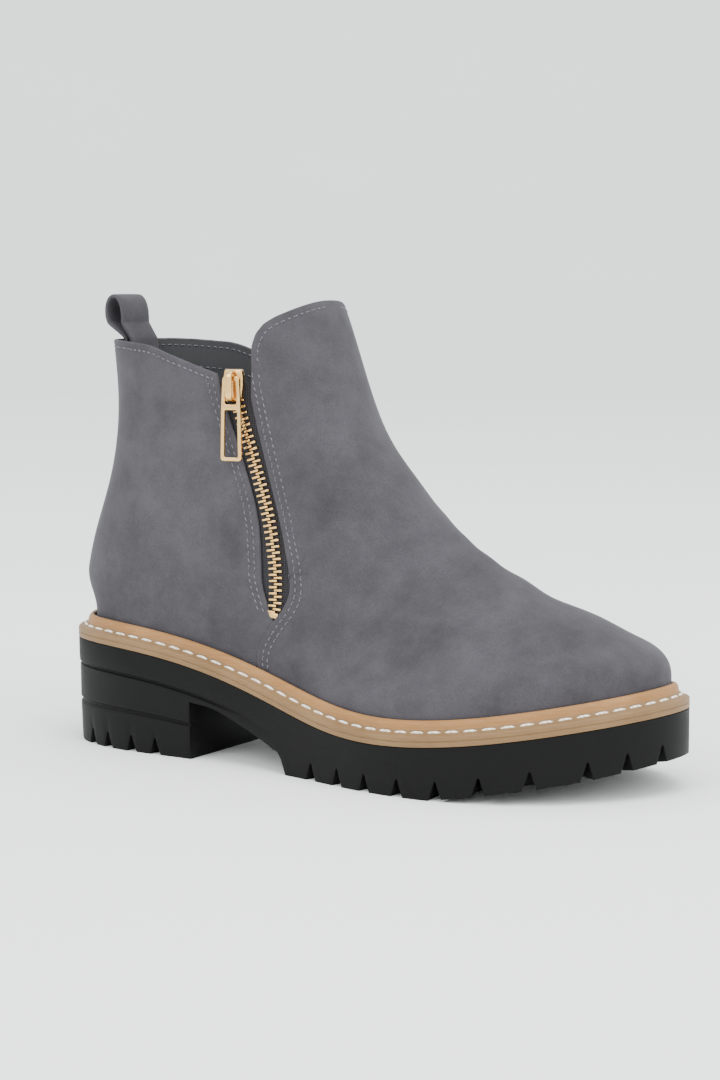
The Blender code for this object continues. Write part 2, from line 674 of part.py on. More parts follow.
# Upper: one hollow wall, thicker by a step over the front panel, open at collar, zips and sole
def upper():
    mesh = upper_sheet("upper")
    check_outward(mesh)
    wall = add_object("upper", mesh, NUBUCK)
    thicken(wall, UPPER_WALL)

    raised = upper_sheet("front_panel")
    check_outward(raised)
    lift = bmesh.new()
    lift.from_mesh(raised)
    lift.normal_update()
    for vert in lift.verts:
        vert.co = vert.co + vert.normal * PANEL_STEP
    lift.to_mesh(raised)
    lift.free()
    panel = add_object("front_panel", raised, cutter=True)
    thicken(panel, PANEL_STEP + UPPER_WALL / 2)

    opening = [(0.5 * (rear + front), height) for height, rear, front in ZIP_OPENING]
    lid = side_xz(SECTIONS[0][1], 1.0)[1]
    border = [(opening[0][0] * SOLE_LENGTH - UPPER_WALL, lid)]
    border += [side_xz(station, height) for station, height in opening]
    border += [side_xz(station, height) for height, station in SEAM_LINE[1:]]
    edge_start = SEAM_LINE[-1][1] + PANEL_EDGE_START
    edge_stations = np.linspace(edge_start, PANEL_EDGE_END, PANEL_EDGE_POINTS)
    border += [side_xz(station, PANEL_LIFT) for station in edge_stations]
    border += [(border[-1][0], lid)]
    keep = add_object("panel_region", prism("panel_region", border, -ACROSS, ACROSS), cutter=True)
    boolean(panel, keep, "INTERSECT", "MANIFOLD")
    boolean(wall, panel, "UNION", "MANIFOLD")

    line = [side_xz(station, height) for station, height in COLLAR_LINE]
    roof = UPPER_HEIGHT + 2 * HEEL_HEIGHT
    above = line + [(line[-1][0], roof), (line[0][0], roof)]
    collar = add_object("collar_cutter", prism("collar_cutter", above, -ACROSS, ACROSS), cutter=True)
    boolean(wall, collar, "DIFFERENCE", "MANIFOLD")

    rear = [side_xz(station, height) for height, station, _ in ZIP_OPENING]
    front = [side_xz(station, height) for height, _, station in ZIP_OPENING]
    slot = [(rear[0][0], roof)] + rear + front[::-1] + [(front[0][0], roof)]
    slots = add_object("zip_cutter", prism("zip_cutter", slot, -ACROSS, ACROSS), cutter=True)
    boolean(wall, slots, "DIFFERENCE", "MANIFOLD")
    return wall


def zip_edges(height_share):
    heights = column(ZIP_OPENING, 0)[::-1]
    rear = np.interp(height_share, heights, column(ZIP_OPENING, 1)[::-1]) * SOLE_LENGTH
    front = np.interp(height_share, heights, column(ZIP_OPENING, 2)[::-1]) * SOLE_LENGTH
    return float(rear), float(front)


SLIDER_SHARE = 0.728
TAPE_FOOT_SHARE = 0.150
TAPE_TOP_SHARE = 0.735
CHAIN_FOOT_SHARE = 0.224
CHAIN_TOP_GAP = 0.004
TAPE_ROWS = 15
TAPE_COLUMNS = 5
CHAIN_SAMPLES = 160
TOOTH_GAP = 0.0001
TOOTH_REACH = 0.24


# Zip tape: a strip of cloth behind the opening, against the upper's inner face
def zip_tape(name, side):
    heights = np.linspace(TAPE_FOOT_SHARE, TAPE_TOP_SHARE, TAPE_ROWS)
    points = []
    columns = TAPE_COLUMNS
    for height in heights:
        rear, front = zip_edges(height)
        for x in np.linspace(rear - TAPE_OVERLAP, front + TAPE_OVERLAP, columns):
            place, normal = side_point(x, height * UPPER_HEIGHT, side)
            points.append(place - normal * (UPPER_WALL + TAPE_GAP))
    faces = []
    for i in range(len(heights) - 1):
        for j in range(columns - 1):
            low = i * columns + j
            faces.append((low, low + 1, low + columns + 1, low + columns))
    mesh = mesh_from(name, points, faces)
    check_outward(mesh)
    tape = add_object(name, mesh, TAPE_CLOTH)
    thicken(tape, TAPE_THICKNESS)
    return tape


# Zip teeth: both rows in mesh as one comb, each tooth reaching to its own side
def zip_teeth(name, side):
    top = SLIDER_SHARE - 0.5 * SLIDER_LENGTH / UPPER_HEIGHT - CHAIN_TOP_GAP
    heights = np.linspace(CHAIN_FOOT_SHARE, top, CHAIN_SAMPLES)
    path = []
    for height in heights:
        rear, front = zip_edges(height)
        place, normal = side_point(0.5 * (rear + front), height * UPPER_HEIGHT, side)
        path.append((place, normal))
    run = np.concatenate([[0], np.cumsum([
        np.linalg.norm(path[k + 1][0] - path[k][0]) for k in range(len(path) - 1)])])
    half_pitch = TOOTH_PITCH / 2
    teeth = int(run[-1] / half_pitch)
    points = []
    faces = []
    for tooth in range(teeth):
        reach = (1.0, TOOTH_REACH) if tooth % 2 == 0 else (TOOTH_REACH, 1.0)
        for along in (tooth * half_pitch + TOOTH_GAP / 2, (tooth + 1) * half_pitch - TOOTH_GAP / 2):
            share = np.interp(along, run, np.arange(len(path)))
            k = min(int(share), len(path) - 2)
            place = path[k][0] + (path[k + 1][0] - path[k][0]) * (share - k)
            ahead = path[k + 1][0] - path[k][0]
            ahead = ahead / np.linalg.norm(ahead)
            normal = path[k][1]
            across = np.cross(ahead, normal)
            low = -(UPPER_WALL - TOOTH_GAP)
            for wide, depth in ((-reach[0], low), (-reach[0], low + CHAIN_THICKNESS),
                                (reach[1], low + CHAIN_THICKNESS), (reach[1], low)):
                points.append(place + across * wide * CHAIN_WIDTH / 2 + normal * depth)
    sections = 2 * teeth
    for i in range(sections - 1):
        for j in range(4):
            after = (j + 1) % 4
            faces.append((4 * i + j, 4 * i + after, 4 * i + 4 + after, 4 * i + 4 + j))
    faces.append((0, 1, 2, 3))
    last = 4 * (sections - 1)
    faces.append((last, last + 1, last + 2, last + 3))
    return add_object(name, mesh_from(name, points, faces, 30), GILT)


def slider_frame(side):
    """Place of a slider on the upper, with level sideways and outward directions."""
    rear, front = zip_edges(SLIDER_SHARE)
    place, normal = side_point(0.5 * (rear + front), SLIDER_SHARE * UPPER_HEIGHT, side)
    outward = np.array([normal[0], normal[1], 0.0])
    outward = outward / np.linalg.norm(outward)
    sideways = np.cross(outward, [0.0, 0.0, 1.0])
    return place, outward, sideways


def block(built, frame, size, centre):
    """Adds a block to a bmesh, sized and placed sideways, outward and upward in a slider's frame."""
    place, outward, sideways = frame
    cube = bmesh.ops.create_cube(built, size=1)
    for vert in cube["verts"]:
        a = vert.co.x * size[0] + centre[0]
        b = vert.co.y * size[1] + centre[1]
        c = vert.co.z * size[2] + centre[2]
        spot = place + sideways * a + outward * b
        vert.co = (spot[0], spot[1], spot[2] + c)


def joined_blocks(name, frame, blocks, surface):
    """One solid from overlapping blocks, joined in turn."""
    whole = None
    for index, (size, centre) in enumerate(blocks):
        built = bmesh.new()
        block(built, frame, size, centre)
        bmesh.ops.recalc_face_normals(built, faces=built.faces)
        mesh = bpy.data.meshes.new(f"{name}_{index}")
        built.to_mesh(mesh)
        built.free()
        if whole is None:
            whole = add_object(name, mesh, surface)
        else:
            extra = add_object(f"{name}_piece_{index}", mesh, cutter=True)
            boolean(whole, extra, "UNION")
    return whole


SLIDER_BASE = -0.0016
HINGE_RISE = SLIDER_BASE + SLIDER_THICKNESS + (BRIDGE_RISE - BRIDGE_BAR) / 2
HINGE_UP = SLIDER_LENGTH * 0.20


# Slider: a body over the chain, with a bridge that holds the pull tab
def zip_slider(name, side):
    top = SLIDER_BASE + SLIDER_THICKNESS
    span = SLIDER_LENGTH - BRIDGE_SHORTER
    post_rise = top - JOIN + BRIDGE_RISE / 2
    post_up = (span - POST_LENGTH) / 2
    bar_rise = top - JOIN / 2 + BRIDGE_RISE - BRIDGE_BAR / 2
    blocks = [
        ((SLIDER_WIDTH, SLIDER_THICKNESS, SLIDER_LENGTH), (0, SLIDER_BASE + SLIDER_THICKNESS / 2, 0)),
        ((BRIDGE_WIDTH, BRIDGE_RISE, POST_LENGTH), (0, post_rise, post_up)),
        ((BRIDGE_WIDTH, BRIDGE_RISE, POST_LENGTH), (0, post_rise, -post_up)),
        ((BRIDGE_WIDTH, BRIDGE_BAR, span - JOIN), (0, bar_rise, 0)),
    ]
    return joined_blocks(name, slider_frame(side), blocks, GILT)


# Pull tab: a long open frame that hangs from a pin under the bridge and swings about that pin
def zip_pull(name, side):
    frame = slider_frame(side)
    between = TAB_WIDTH - TAB_BAR
    crossbar_up = HINGE_UP - (SLIDER_LENGTH / 2 + HINGE_UP + CROSSBAR_DROP)
    rail_up = HINGE_UP - TAB_LENGTH / 2 + PIN_SIZE / 2
    foot_up = HINGE_UP - TAB_LENGTH + PIN_SIZE
    rail = (TAB_BAR, TAB_THICKNESS + JOIN / 2, TAB_LENGTH)
    blocks = [
        ((between, PIN_SIZE, PIN_SIZE), (0, HINGE_RISE, HINGE_UP)),
        (rail, (between / 2, HINGE_RISE, rail_up)),
        (rail, (-between / 2, HINGE_RISE, rail_up)),
        ((between, TAB_THICKNESS, CROSSBAR_LENGTH), (0, HINGE_RISE, crossbar_up)),
        ((between, TAB_THICKNESS, TAB_BAR), (0, HINGE_RISE, foot_up)),
    ]
    made = joined_blocks(name, frame, blocks, GILT)
    place, outward, _ = frame
    hinge = place + outward * HINGE_RISE + np.array([0, 0, HINGE_UP])
    # The tab's own origin lies on its hinge
    made.data.transform(Matrix.Translation(tuple(float(-value) for value in hinge)))
    made.location = tuple(hinge)
    return made, hinge


# Pull loop: a band folded over, both ends inside the collar at the back
def pull_loop():
    collar = 0.774 * UPPER_HEIGHT
    rows = np.linspace(0, 6, 400)
    values = section_values(rows)
    heights = values[2] * UPPER_HEIGHT
    order = np.argsort(heights)
    back_x = (values[0] * SOLE_LENGTH)[order]
    heights = heights[order]
    knots = np.linspace(0, 1, len(LOOP_PATH))
    fine = np.linspace(0, 1, LOOP_STEPS)
    forward = spline(knots, column(LOOP_PATH, 0), fine) * LOOP_RISE
    up = spline(knots, column(LOOP_PATH, 1), fine) * LOOP_RISE
    points = []
    across = np.linspace(-0.5, 0.5, LOOP_COLUMNS) * LOOP_WIDTH
    for k in range(len(fine)):
        h = collar + up[k]
        wall = float(np.interp(min(h, collar), heights, back_x))
        sunk = min(max(1 - up[k] / (0.35 * LOOP_RISE), 0), 1)
        x = wall + forward[k] + sunk * (UPPER_WALL + CLEARANCE)
        for y in across:
            points.append((x + sunk * LOOP_BOW * y * y, y, float(welt_line(wall)) + h))
    faces = []
    for i in range(len(fine) - 1):
        for j in range(len(across) - 1):
            low = i * len(across) + j
            faces.append((low, low + 1, low + len(across) + 1, low + len(across)))
    mesh = mesh_from("pull_loop", points, faces, 60)
    loop = add_object("pull_loop", mesh, NUBUCK)
    wall = loop.modifiers.new("wall", "SOLIDIFY")
    wall.thickness = LOOP_THICKNESS
    wall.offset = 0
    wall.use_even_offset = True
    return loop


outsole()
welt()
insole()
upper()
pull_loop()
for zip_side, sign in (("outer", -1), ("inner", 1)):
    zip_tape(f"zip_tape_{zip_side}", sign)
    zip_teeth(f"zip_teeth_{zip_side}", sign)
    zip_slider(f"zip_slider_{zip_side}", sign)
    pull_object, pull_hinge = zip_pull(f"zip_pull_{zip_side}", sign)
    _, facing, level = slider_frame(sign)
    shown = [round(float(a + b), 5) for a, b in zip(pull_hinge, BOOT_MIDDLE.location)]
    print(pull_object.name, "hinge", shown, "axis", [round(float(value), 4) for value in level])
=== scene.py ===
# %% [markdown]
# The zip ankle boot, dressed for its picture
#
# This file is a lesson in cells. All sizes are metres. In the boot's own measure x runs from the
# heel's back to the toe, y is sideways with the outer side negative, and z is up. The solids stand
# with their middle at the origin, so each finished point is moved by one fixed step, `ROW_STEP`,
# before it goes into a mesh.

# %% Load the frame
import json
import math

import bmesh
import bpy
import numpy as np
from mathutils import Matrix, Vector
from mathutils.bvhtree import BVHTree


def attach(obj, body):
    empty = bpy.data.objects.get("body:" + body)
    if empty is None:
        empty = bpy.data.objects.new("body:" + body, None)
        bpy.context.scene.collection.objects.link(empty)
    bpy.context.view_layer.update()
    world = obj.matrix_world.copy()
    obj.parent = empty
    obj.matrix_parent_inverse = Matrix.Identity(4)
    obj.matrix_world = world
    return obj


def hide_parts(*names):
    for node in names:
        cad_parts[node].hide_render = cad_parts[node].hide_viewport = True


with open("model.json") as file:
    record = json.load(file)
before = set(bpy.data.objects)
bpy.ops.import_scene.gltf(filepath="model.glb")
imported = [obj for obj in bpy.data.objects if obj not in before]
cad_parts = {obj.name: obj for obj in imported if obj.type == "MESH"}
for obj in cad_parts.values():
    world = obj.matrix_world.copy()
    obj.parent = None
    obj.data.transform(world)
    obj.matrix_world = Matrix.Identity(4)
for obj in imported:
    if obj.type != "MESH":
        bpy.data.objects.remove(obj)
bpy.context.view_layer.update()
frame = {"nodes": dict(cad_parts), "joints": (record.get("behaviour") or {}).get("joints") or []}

# %% [markdown]
# Small helpers
#
# Blender's operators work on whatever is selected, so one helper clears the selection and another
# makes a mesh into an object. Smooth shading with a limit angle keeps soft forms soft and leaves
# real edges crisp.

# %% Helpers for objects
BODY = "boot"


def nothing_selected():
    if bpy.context.mode != "OBJECT":
        bpy.ops.object.mode_set(mode="OBJECT")
    bpy.ops.object.select_all(action="DESELECT")


def pick(piece):
    nothing_selected()
    piece.select_set(True)
    bpy.context.view_layer.objects.active = piece


def smooth(piece, degrees=40):
    pick(piece)
    bpy.ops.object.shade_smooth_by_angle(angle=math.radians(degrees))


def finish_piece(name, built, finish, degrees=40):
    """A bmesh in the boot's own measure becomes an object of the row, in its finish."""
    built.normal_update()
    mesh = bpy.data.meshes.new(name)
    built.to_mesh(mesh)
    built.free()
    mesh.transform(Matrix.Translation(ROW_STEP))
    made = bpy.data.objects.new(name, mesh)
    bpy.context.scene.collection.objects.link(made)
    mesh.materials.append(finish)
    smooth(made, degrees)
    return made


def apply_all(piece):
    pick(piece)
    for step in list(piece.modifiers):
        bpy.ops.object.modifier_apply(modifier=step.name)


def report(piece):
    print(piece.name, len(piece.data.polygons), "faces")
# %% [markdown]
# The boot's own sizes
#
# A shoe is made on a last, and everything sits on that last: the panels, the seams and the sole's
# edge. The tables below say that form in shares of a few sizes, and short functions turn them into
# points. The solids were made from the same tables, so a fine panel made here lies where its solid
# does.

# %% Sizes and tables
# Sizes of the sole
SOLE_LENGTH = 0.285
LATERAL_REACH = 0.060
MEDIAL_REACH = 0.051
HEEL_HEIGHT = 0.0458
FOREPART_HEIGHT = 0.0197
TOE_HEIGHT = 0.0326
TOE_SPRING = 0.0146
HEEL_LENGTH = 0.079
FOREPART_START = 0.130
WAIST_HEIGHT = 0.0247

# Sizes of the welt and the upper
WELT_HEIGHT = 0.0098
WELT_DEPTH = 0.0070
UPPER_HEIGHT = 0.170
UPPER_WALL = 0.0020
PANEL_STEP = 0.0008
UPPER_SEAT = 0.0006
CLEARANCE = 0.0003

# Sizes of the side grooves and of the notches between the lugs
GROOVE_DROP = 0.0112
GROOVE_DEPTH = 0.0010
GROOVE_HALF_HEIGHT = 0.0009
NOTCH_HEIGHT = 0.0075
NOTCH_WIDTH = 0.0056
NOTCH_DEPTH = 0.0150
NOTCH_OUTSIDE = 0.0045

# Sizes of the zip, its slider and its pull tab
TOOTH_PITCH = 0.0026
SLIDER_WIDTH = 0.0090
SLIDER_LENGTH = 0.0135
SLIDER_THICKNESS = 0.0030
BRIDGE_WIDTH = 0.0030
BRIDGE_RISE = 0.0044
BRIDGE_BAR = 0.0013
TAB_LENGTH = 0.0350
TAB_WIDTH = 0.0096
TAB_THICKNESS = 0.0016
TAB_BAR = 0.0013
BRIDGE_SHORTER = 0.0016
PIN_SIZE = 0.0016
CROSSBAR_LENGTH = 0.0024
CROSSBAR_DROP = 0.0022
JOIN = 0.0002

# Sizes of the pull loop
LOOP_WIDTH = 0.020
LOOP_THICKNESS = 0.0018

# Plan outline of the sole: station as a share of SOLE_LENGTH from the heel's back, then the outer
# side's half width as a share of LATERAL_REACH and the inner side's as a share of MEDIAL_REACH
OUTLINE = [
    (0.000, 0.000, 0.000),
    (0.0105, 0.222, 0.255),
    (0.035, 0.410, 0.471),
    (0.070, 0.530, 0.608),
    (0.140, 0.632, 0.706),
    (0.210, 0.657, 0.716),
    (0.298, 0.670, 0.696),
    (0.404, 0.720, 0.657),
    (0.509, 0.833, 0.706),
    (0.596, 0.947, 0.824),
    (0.667, 1.000, 0.922),
    (0.737, 0.993, 0.990),
    (0.807, 0.923, 0.990),
    (0.877, 0.760, 0.902),
    (0.930, 0.560, 0.755),
    (0.968, 0.342, 0.549),
    (0.993, 0.100, 0.333),
    (1.000, -0.100, 0.118),
]

# Height of the line where welt and sole meet: station, then the share of the heel's extra height
# and the share of the toe's extra height over the forepart
WELT_LINE = [
    (0.000, 1.000, 0.000),
    (0.140, 0.958, 0.000),
    (0.298, 0.709, 0.000),
    (0.421, 0.360, 0.000),
    (0.526, 0.077, 0.000),
    (0.667, 0.000, 0.000),
    (0.825, 0.000, 0.364),
    (1.000, 0.000, 1.000),
]

# Lift of the tread towards the toe: station, share of TOE_SPRING
TREAD_LINE = [(0.000, 0.00), (0.720, 0.00), (0.825, 0.322), (0.912, 0.610), (1.000, 1.00)]

# Under line of the waist: share of the way from the heel's breast to the first forepart lug,
# then the share of WAIST_HEIGHT
WAIST_LINE = [
    (0.00, 1.00), (0.26, 0.92), (0.50, 0.74), (0.73, 0.55), (0.90, 0.39), (0.98, 0.28), (1.01, 0.10),
    (1.07, -0.12),
]

# Stations of the notches, the same on both sides of the sole
NOTCH_STATIONS = [
    0.0035, 0.028, 0.077, 0.116, 0.165, 0.214, 0.516, 0.563, 0.614, 0.670, 0.730, 0.793, 0.860, 0.923,
    0.962, 0.990,
]

# Sections of the upper, fanned from the collar over the instep to the toe. Each runs from a point
# on the back or under line to one on the front or top line. Columns: back x and front x as shares
# of SOLE_LENGTH, back and front height over the welt line as shares of UPPER_HEIGHT, outer and
# inner half width as shares of LATERAL_REACH, share of the way where it is widest, roundness of
# its back or under part and of its front or top part, sideways place of the top line as a share
# of LATERAL_REACH
SECTIONS = [
    (0.061, 0.428, 0.908, 1.016, 0.592, 0.592, 0.46, 2.10, 2.30, 0.00),
    (0.067, 0.458, 0.779, 0.911, 0.583, 0.583, 0.46, 2.10, 2.30, 0.00),
    (0.073, 0.490, 0.644, 0.786, 0.567, 0.567, 0.45, 2.10, 2.25, 0.00),
    (0.070, 0.527, 0.520, 0.674, 0.550, 0.550, 0.44, 2.20, 2.20, 0.00),
    (0.054, 0.572, 0.396, 0.592, 0.542, 0.540, 0.42, 2.30, 2.15, 0.01),
    (0.030, 0.604, 0.272, 0.536, 0.542, 0.533, 0.39, 2.40, 2.10, 0.02),
    (0.017, 0.625, 0.166, 0.502, 0.552, 0.525, 0.36, 2.50, 2.10, 0.03),
    (0.016, 0.642, 0.060, 0.475, 0.560, 0.517, 0.33, 2.60, 2.10, 0.03),
    (0.049, 0.660, -0.081, 0.449, 0.575, 0.508, 0.30, 2.80, 2.10, 0.04),
    (0.158, 0.677, -0.141, 0.425, 0.608, 0.500, 0.28, 3.00, 2.10, 0.04),
    (0.281, 0.697, -0.171, 0.401, 0.658, 0.508, 0.26, 3.20, 2.15, 0.05),
    (0.393, 0.719, -0.150, 0.373, 0.717, 0.533, 0.25, 3.40, 2.20, 0.05),
    (0.491, 0.747, -0.118, 0.344, 0.792, 0.583, 0.25, 3.60, 2.25, 0.06),
    (0.579, 0.779, -0.096, 0.305, 0.858, 0.658, 0.25, 3.80, 2.22, 0.06),
    (0.653, 0.814, -0.086, 0.275, 0.872, 0.712, 0.26, 4.00, 2.18, 0.07),
    (0.716, 0.853, -0.076, 0.244, 0.858, 0.725, 0.28, 4.00, 2.14, 0.08),
    (0.765, 0.890, -0.071, 0.208, 0.808, 0.725, 0.30, 4.00, 2.10, 0.08),
    (0.807, 0.923, -0.062, 0.172, 0.742, 0.708, 0.32, 4.00, 2.08, 0.09),
    (0.842, 0.948, -0.049, 0.133, 0.650, 0.650, 0.34, 3.60, 2.06, 0.09),
    (0.870, 0.963, -0.039, 0.091, 0.550, 0.583, 0.36, 3.20, 2.04, 0.10),
    (0.891, 0.970, -0.034, 0.050, 0.433, 0.500, 0.40, 3.00, 2.02, 0.10),
    (0.905, 0.972, -0.026, 0.0036, 0.300, 0.367, 0.50, 2.50, 2.00, 0.10),
]

# Top line of the upper seen from the side: station, height over the welt line as a share of
# UPPER_HEIGHT. It dips to the zip, and the front panel rises with a round corner.
COLLAR_LINE = [
    (-0.05, 0.772), (0.065, 0.772), (0.105, 0.774), (0.161, 0.774), (0.193, 0.774), (0.228, 0.764),
    (0.270, 0.753), (0.299, 0.747), (0.318, 0.746), (0.345, 0.768), (0.3705, 0.800), (0.3705, 0.838),
    (0.3755, 0.870), (0.386, 0.899), (0.400, 0.922), (0.415, 0.943), (0.4285, 0.963), (0.440, 0.981),
    (0.460, 0.992), (0.55, 0.995),
]

# Edges of the zip's opening seen from the side, from the top down: height over the welt line as a
# share of UPPER_HEIGHT, then the stations of the rear and the front edge
ZIP_OPENING = [
    (0.790, 0.3110, 0.3640),
    (0.700, 0.3230, 0.3720),
    (0.560, 0.3530, 0.3940),
    (0.440, 0.3750, 0.4125),
    (0.370, 0.3815, 0.4225),
    (0.310, 0.3840, 0.4300),
    (0.255, 0.3865, 0.4305),
    (0.215, 0.3960, 0.4215),
    (0.176, 0.4040, 0.4080),
]

# Seam from the zip's foot down to the welt, edge of the front panel: height share, station
SEAM_LINE = [(0.176, 0.4060), (0.140, 0.3985), (0.110, 0.3910), (0.050, 0.3890), (0.012, 0.3890)]

# Middle line of the pull loop seen from the side: distance forward of the upper's back line and
# height over the collar's back, both in shares of LOOP_RISE
LOOP_RISE = 0.0195
LOOP_PATH = [
    (0.128, -1.330), (0.128, -0.850), (0.128, -0.350), (0.130, -0.100), (0.075, 0.100),
    (-0.095, 0.310), (-0.180, 0.560), (-0.138, 0.830), (0.012, 0.950), (0.165, 0.860),
    (0.252, 0.620), (0.266, 0.330), (0.262, 0.050), (0.268, -0.350), (0.272, -0.850),
    (0.272, -1.330),
]
LOOP_BOW = 24.0

PULL_FULL_HEIGHT = 0.0115
PULL_FADE_HEIGHT = 0.0200
ROW_STEP = Vector((-SOLE_LENGTH / 2, (LATERAL_REACH - MEDIAL_REACH) / 2, 0))

# %% [markdown]
# Curves through the tables
#
# A natural spline joins a table's rows softly, as a thin strip of wood bends round pins. The sole's
# plan is asked for by an angle instead of a length, so that the round ends of heel and toe stay
# round.

# %% Curves and lines of the sole
def spline(stations, values, at):
    """Natural cubic spline through a table's rows."""
    x = np.asarray(stations, float)
    y = np.asarray(values, float)
    at = np.clip(np.asarray(at, float), x[0], x[-1])
    gap = np.diff(x)
    slope = np.diff(y) / gap
    count = len(x)
    matrix = np.eye(count)
    right = np.zeros(count)
    for k in range(1, count - 1):
        matrix[k, k - 1] = gap[k - 1]
        matrix[k, k] = 2 * (gap[k - 1] + gap[k])
        matrix[k, k + 1] = gap[k]
        right[k] = 6 * (slope[k] - slope[k - 1])
    bend = np.linalg.solve(matrix, right)
    k = np.clip(np.searchsorted(x, at, side="right") - 1, 0, count - 2)
    u = at - x[k]
    v = x[k + 1] - at
    curve = (bend[k] * v ** 3 + bend[k + 1] * u ** 3) / (6 * gap[k])
    line = (y[k] / gap[k] - bend[k] * gap[k] / 6) * v + (y[k + 1] / gap[k] - bend[k + 1] * gap[k] / 6) * u
    return curve + line


def column(table, index):
    return [row[index] for row in table]


def angle_of(share):
    """Turns a station's share into an angle, so that round ends of an outline stay round."""
    return np.arccos(np.clip(1 - 2 * np.asarray(share, float), -1, 1))


OUTLINE_ANGLES = angle_of(column(OUTLINE, 0))


def plan_half_widths(angle):
    """Outer and inner y of the sole's edge at an outline angle."""
    outer = -LATERAL_REACH * spline(OUTLINE_ANGLES, column(OUTLINE, 1), angle)
    inner = MEDIAL_REACH * spline(OUTLINE_ANGLES, column(OUTLINE, 2), angle)
    return outer, inner


def welt_line(x):
    """Height of the line where welt and sole meet, at a distance x from the heel's back."""
    share = np.clip(np.asarray(x, float) / SOLE_LENGTH, 0, 1)
    stations = column(WELT_LINE, 0)
    heel = spline(stations, column(WELT_LINE, 1), share)
    toe = spline(stations, column(WELT_LINE, 2), share)
    return FOREPART_HEIGHT + (HEEL_HEIGHT - FOREPART_HEIGHT) * heel + (TOE_HEIGHT - FOREPART_HEIGHT) * toe


def tread_line(x):
    share = np.clip(np.asarray(x, float) / SOLE_LENGTH, 0, 1)
    return TOE_SPRING * np.interp(share, column(TREAD_LINE, 0), column(TREAD_LINE, 1))


def outline(inset, steps):
    """Closed plan outline, inset from the sole's edge. It starts at the heel's back, follows the
    outer side to the toe and comes back on the inner side."""
    angle = np.linspace(0, math.pi, steps + 1)
    x = SOLE_LENGTH * (1 - np.cos(angle)) / 2
    outer, inner = plan_half_widths(angle)
    xs = np.concatenate([x, x[-2:0:-1]])
    ys = np.concatenate([outer, inner[-2:0:-1]])
    dx = np.roll(xs, -1) - np.roll(xs, 1)
    dy = np.roll(ys, -1) - np.roll(ys, 1)
    length = np.hypot(dx, dy)
    return np.stack([xs - inset * dy / length, ys + inset * dx / length], axis=1)


EDGE_STEPS = 240
EDGE = outline(0.0, EDGE_STEPS)


def edge_distance(x, y):
    """Distance in from the sole's edge, and the direction towards that edge, for many points."""
    step = np.roll(EDGE, -1, axis=0) - EDGE
    square = (step ** 2).sum(axis=1)
    distance = np.empty(len(x))
    away = np.empty((len(x), 2))
    batch = 2000
    for first in range(0, len(x), batch):
        part = slice(first, first + batch)
        rel_x = x[part, None] - EDGE[:, 0]
        rel_y = y[part, None] - EDGE[:, 1]
        along = np.clip((rel_x * step[:, 0] + rel_y * step[:, 1]) / square, 0, 1)
        gap_x = along * step[:, 0] - rel_x
        gap_y = along * step[:, 1] - rel_y
        reach = np.hypot(gap_x, gap_y)
        near = reach.argmin(axis=1)
        each = np.arange(len(near))
        normal = np.stack([step[near, 1], -step[near, 0]], axis=1) / np.sqrt(square[near])[:, None]
        inside = gap_x[each, near] * normal[:, 0] + gap_y[each, near] * normal[:, 1]
        distance[part] = np.copysign(reach[each, near], inside)
        away[part] = normal
    return distance, away


# %% [markdown]
# The last's surface
#
# The surface is a fan of sections, from the collar over the instep to the toe. A row is a place in
# the table of sections, and a turn is the angle round one section from its front or top line. Near
# the sole the surface is drawn in to the same distance from the sole's edge all round, as the welt
# asks.

# %% Surface of the last
FEATHER_INSET = WELT_DEPTH + CLEARANCE + PANEL_STEP
SECTION_ROWS = np.arange(len(SECTIONS))


def section_values(rows):
    return [spline(SECTION_ROWS, column(SECTIONS, k), rows) for k in range(10)]


def upper_points(rows, turns, sides):
    """Points of the upper's outer face. A row is a place in the table of sections, a turn is the
    angle round a section from its front or top line, and a side is -1 outside and +1 inside."""
    values = section_values(rows)
    back_x, front_x = values[0] * SOLE_LENGTH, values[1] * SOLE_LENGTH
    back_h, front_h = values[2] * UPPER_HEIGHT, values[3] * UPPER_HEIGHT
    half = np.where(sides < 0, values[4], values[5]) * LATERAL_REACH
    widest, under, over, shift = values[6], values[7], values[8], values[9]
    cosine, sine = np.cos(turns), np.abs(np.sin(turns))
    power = np.where(cosine >= 0, over, under)
    reach = (np.abs(cosine) ** power + sine ** power) ** (-1 / power)
    share = widest + np.where(cosine >= 0, 1 - widest, widest) * reach * cosine
    x = back_x + (front_x - back_x) * share
    h = back_h + (front_h - back_h) * share
    y = sides * half * reach * sine + shift * LATERAL_REACH * share
    distance, away = edge_distance(x, y)
    fade = np.clip((h - PULL_FULL_HEIGHT) / PULL_FADE_HEIGHT, 0, 1)
    hold = 1 - fade * fade * (3 - 2 * fade)
    x = x + away[:, 0] * (distance - FEATHER_INSET) * hold
    y = y + away[:, 1] * (distance - FEATHER_INSET) * hold
    return np.stack([x, y, welt_line(x) + h], axis=1)


def last_turn(rows):
    """Angle where a section meets the sole, or half a turn where it closes behind the heel."""
    values = section_values(rows)
    back_h, front_h = values[2] * UPPER_HEIGHT, values[3] * UPPER_HEIGHT
    widest, under, over = values[6], values[7], values[8]
    turns = np.linspace(0, math.pi, 361)
    result = np.empty(len(rows))
    for k in range(len(rows)):
        cosine, sine = np.cos(turns), np.abs(np.sin(turns))
        power = np.where(cosine >= 0, over[k], under[k])
        reach = (np.abs(cosine) ** power + sine ** power) ** (-1 / power)
        share = widest[k] + np.where(cosine >= 0, 1 - widest[k], widest[k]) * reach * cosine
        h = back_h[k] + (front_h[k] - back_h[k]) * share - UPPER_SEAT
        below = np.nonzero(h < 0)[0]
        if len(below) == 0:
            result[k] = math.pi
        elif below[0] == 0:
            result[k] = 0.0
        else:
            i = below[0]
            result[k] = turns[i - 1] + (turns[i] - turns[i - 1]) * h[i - 1] / (h[i - 1] - h[i])
    return result


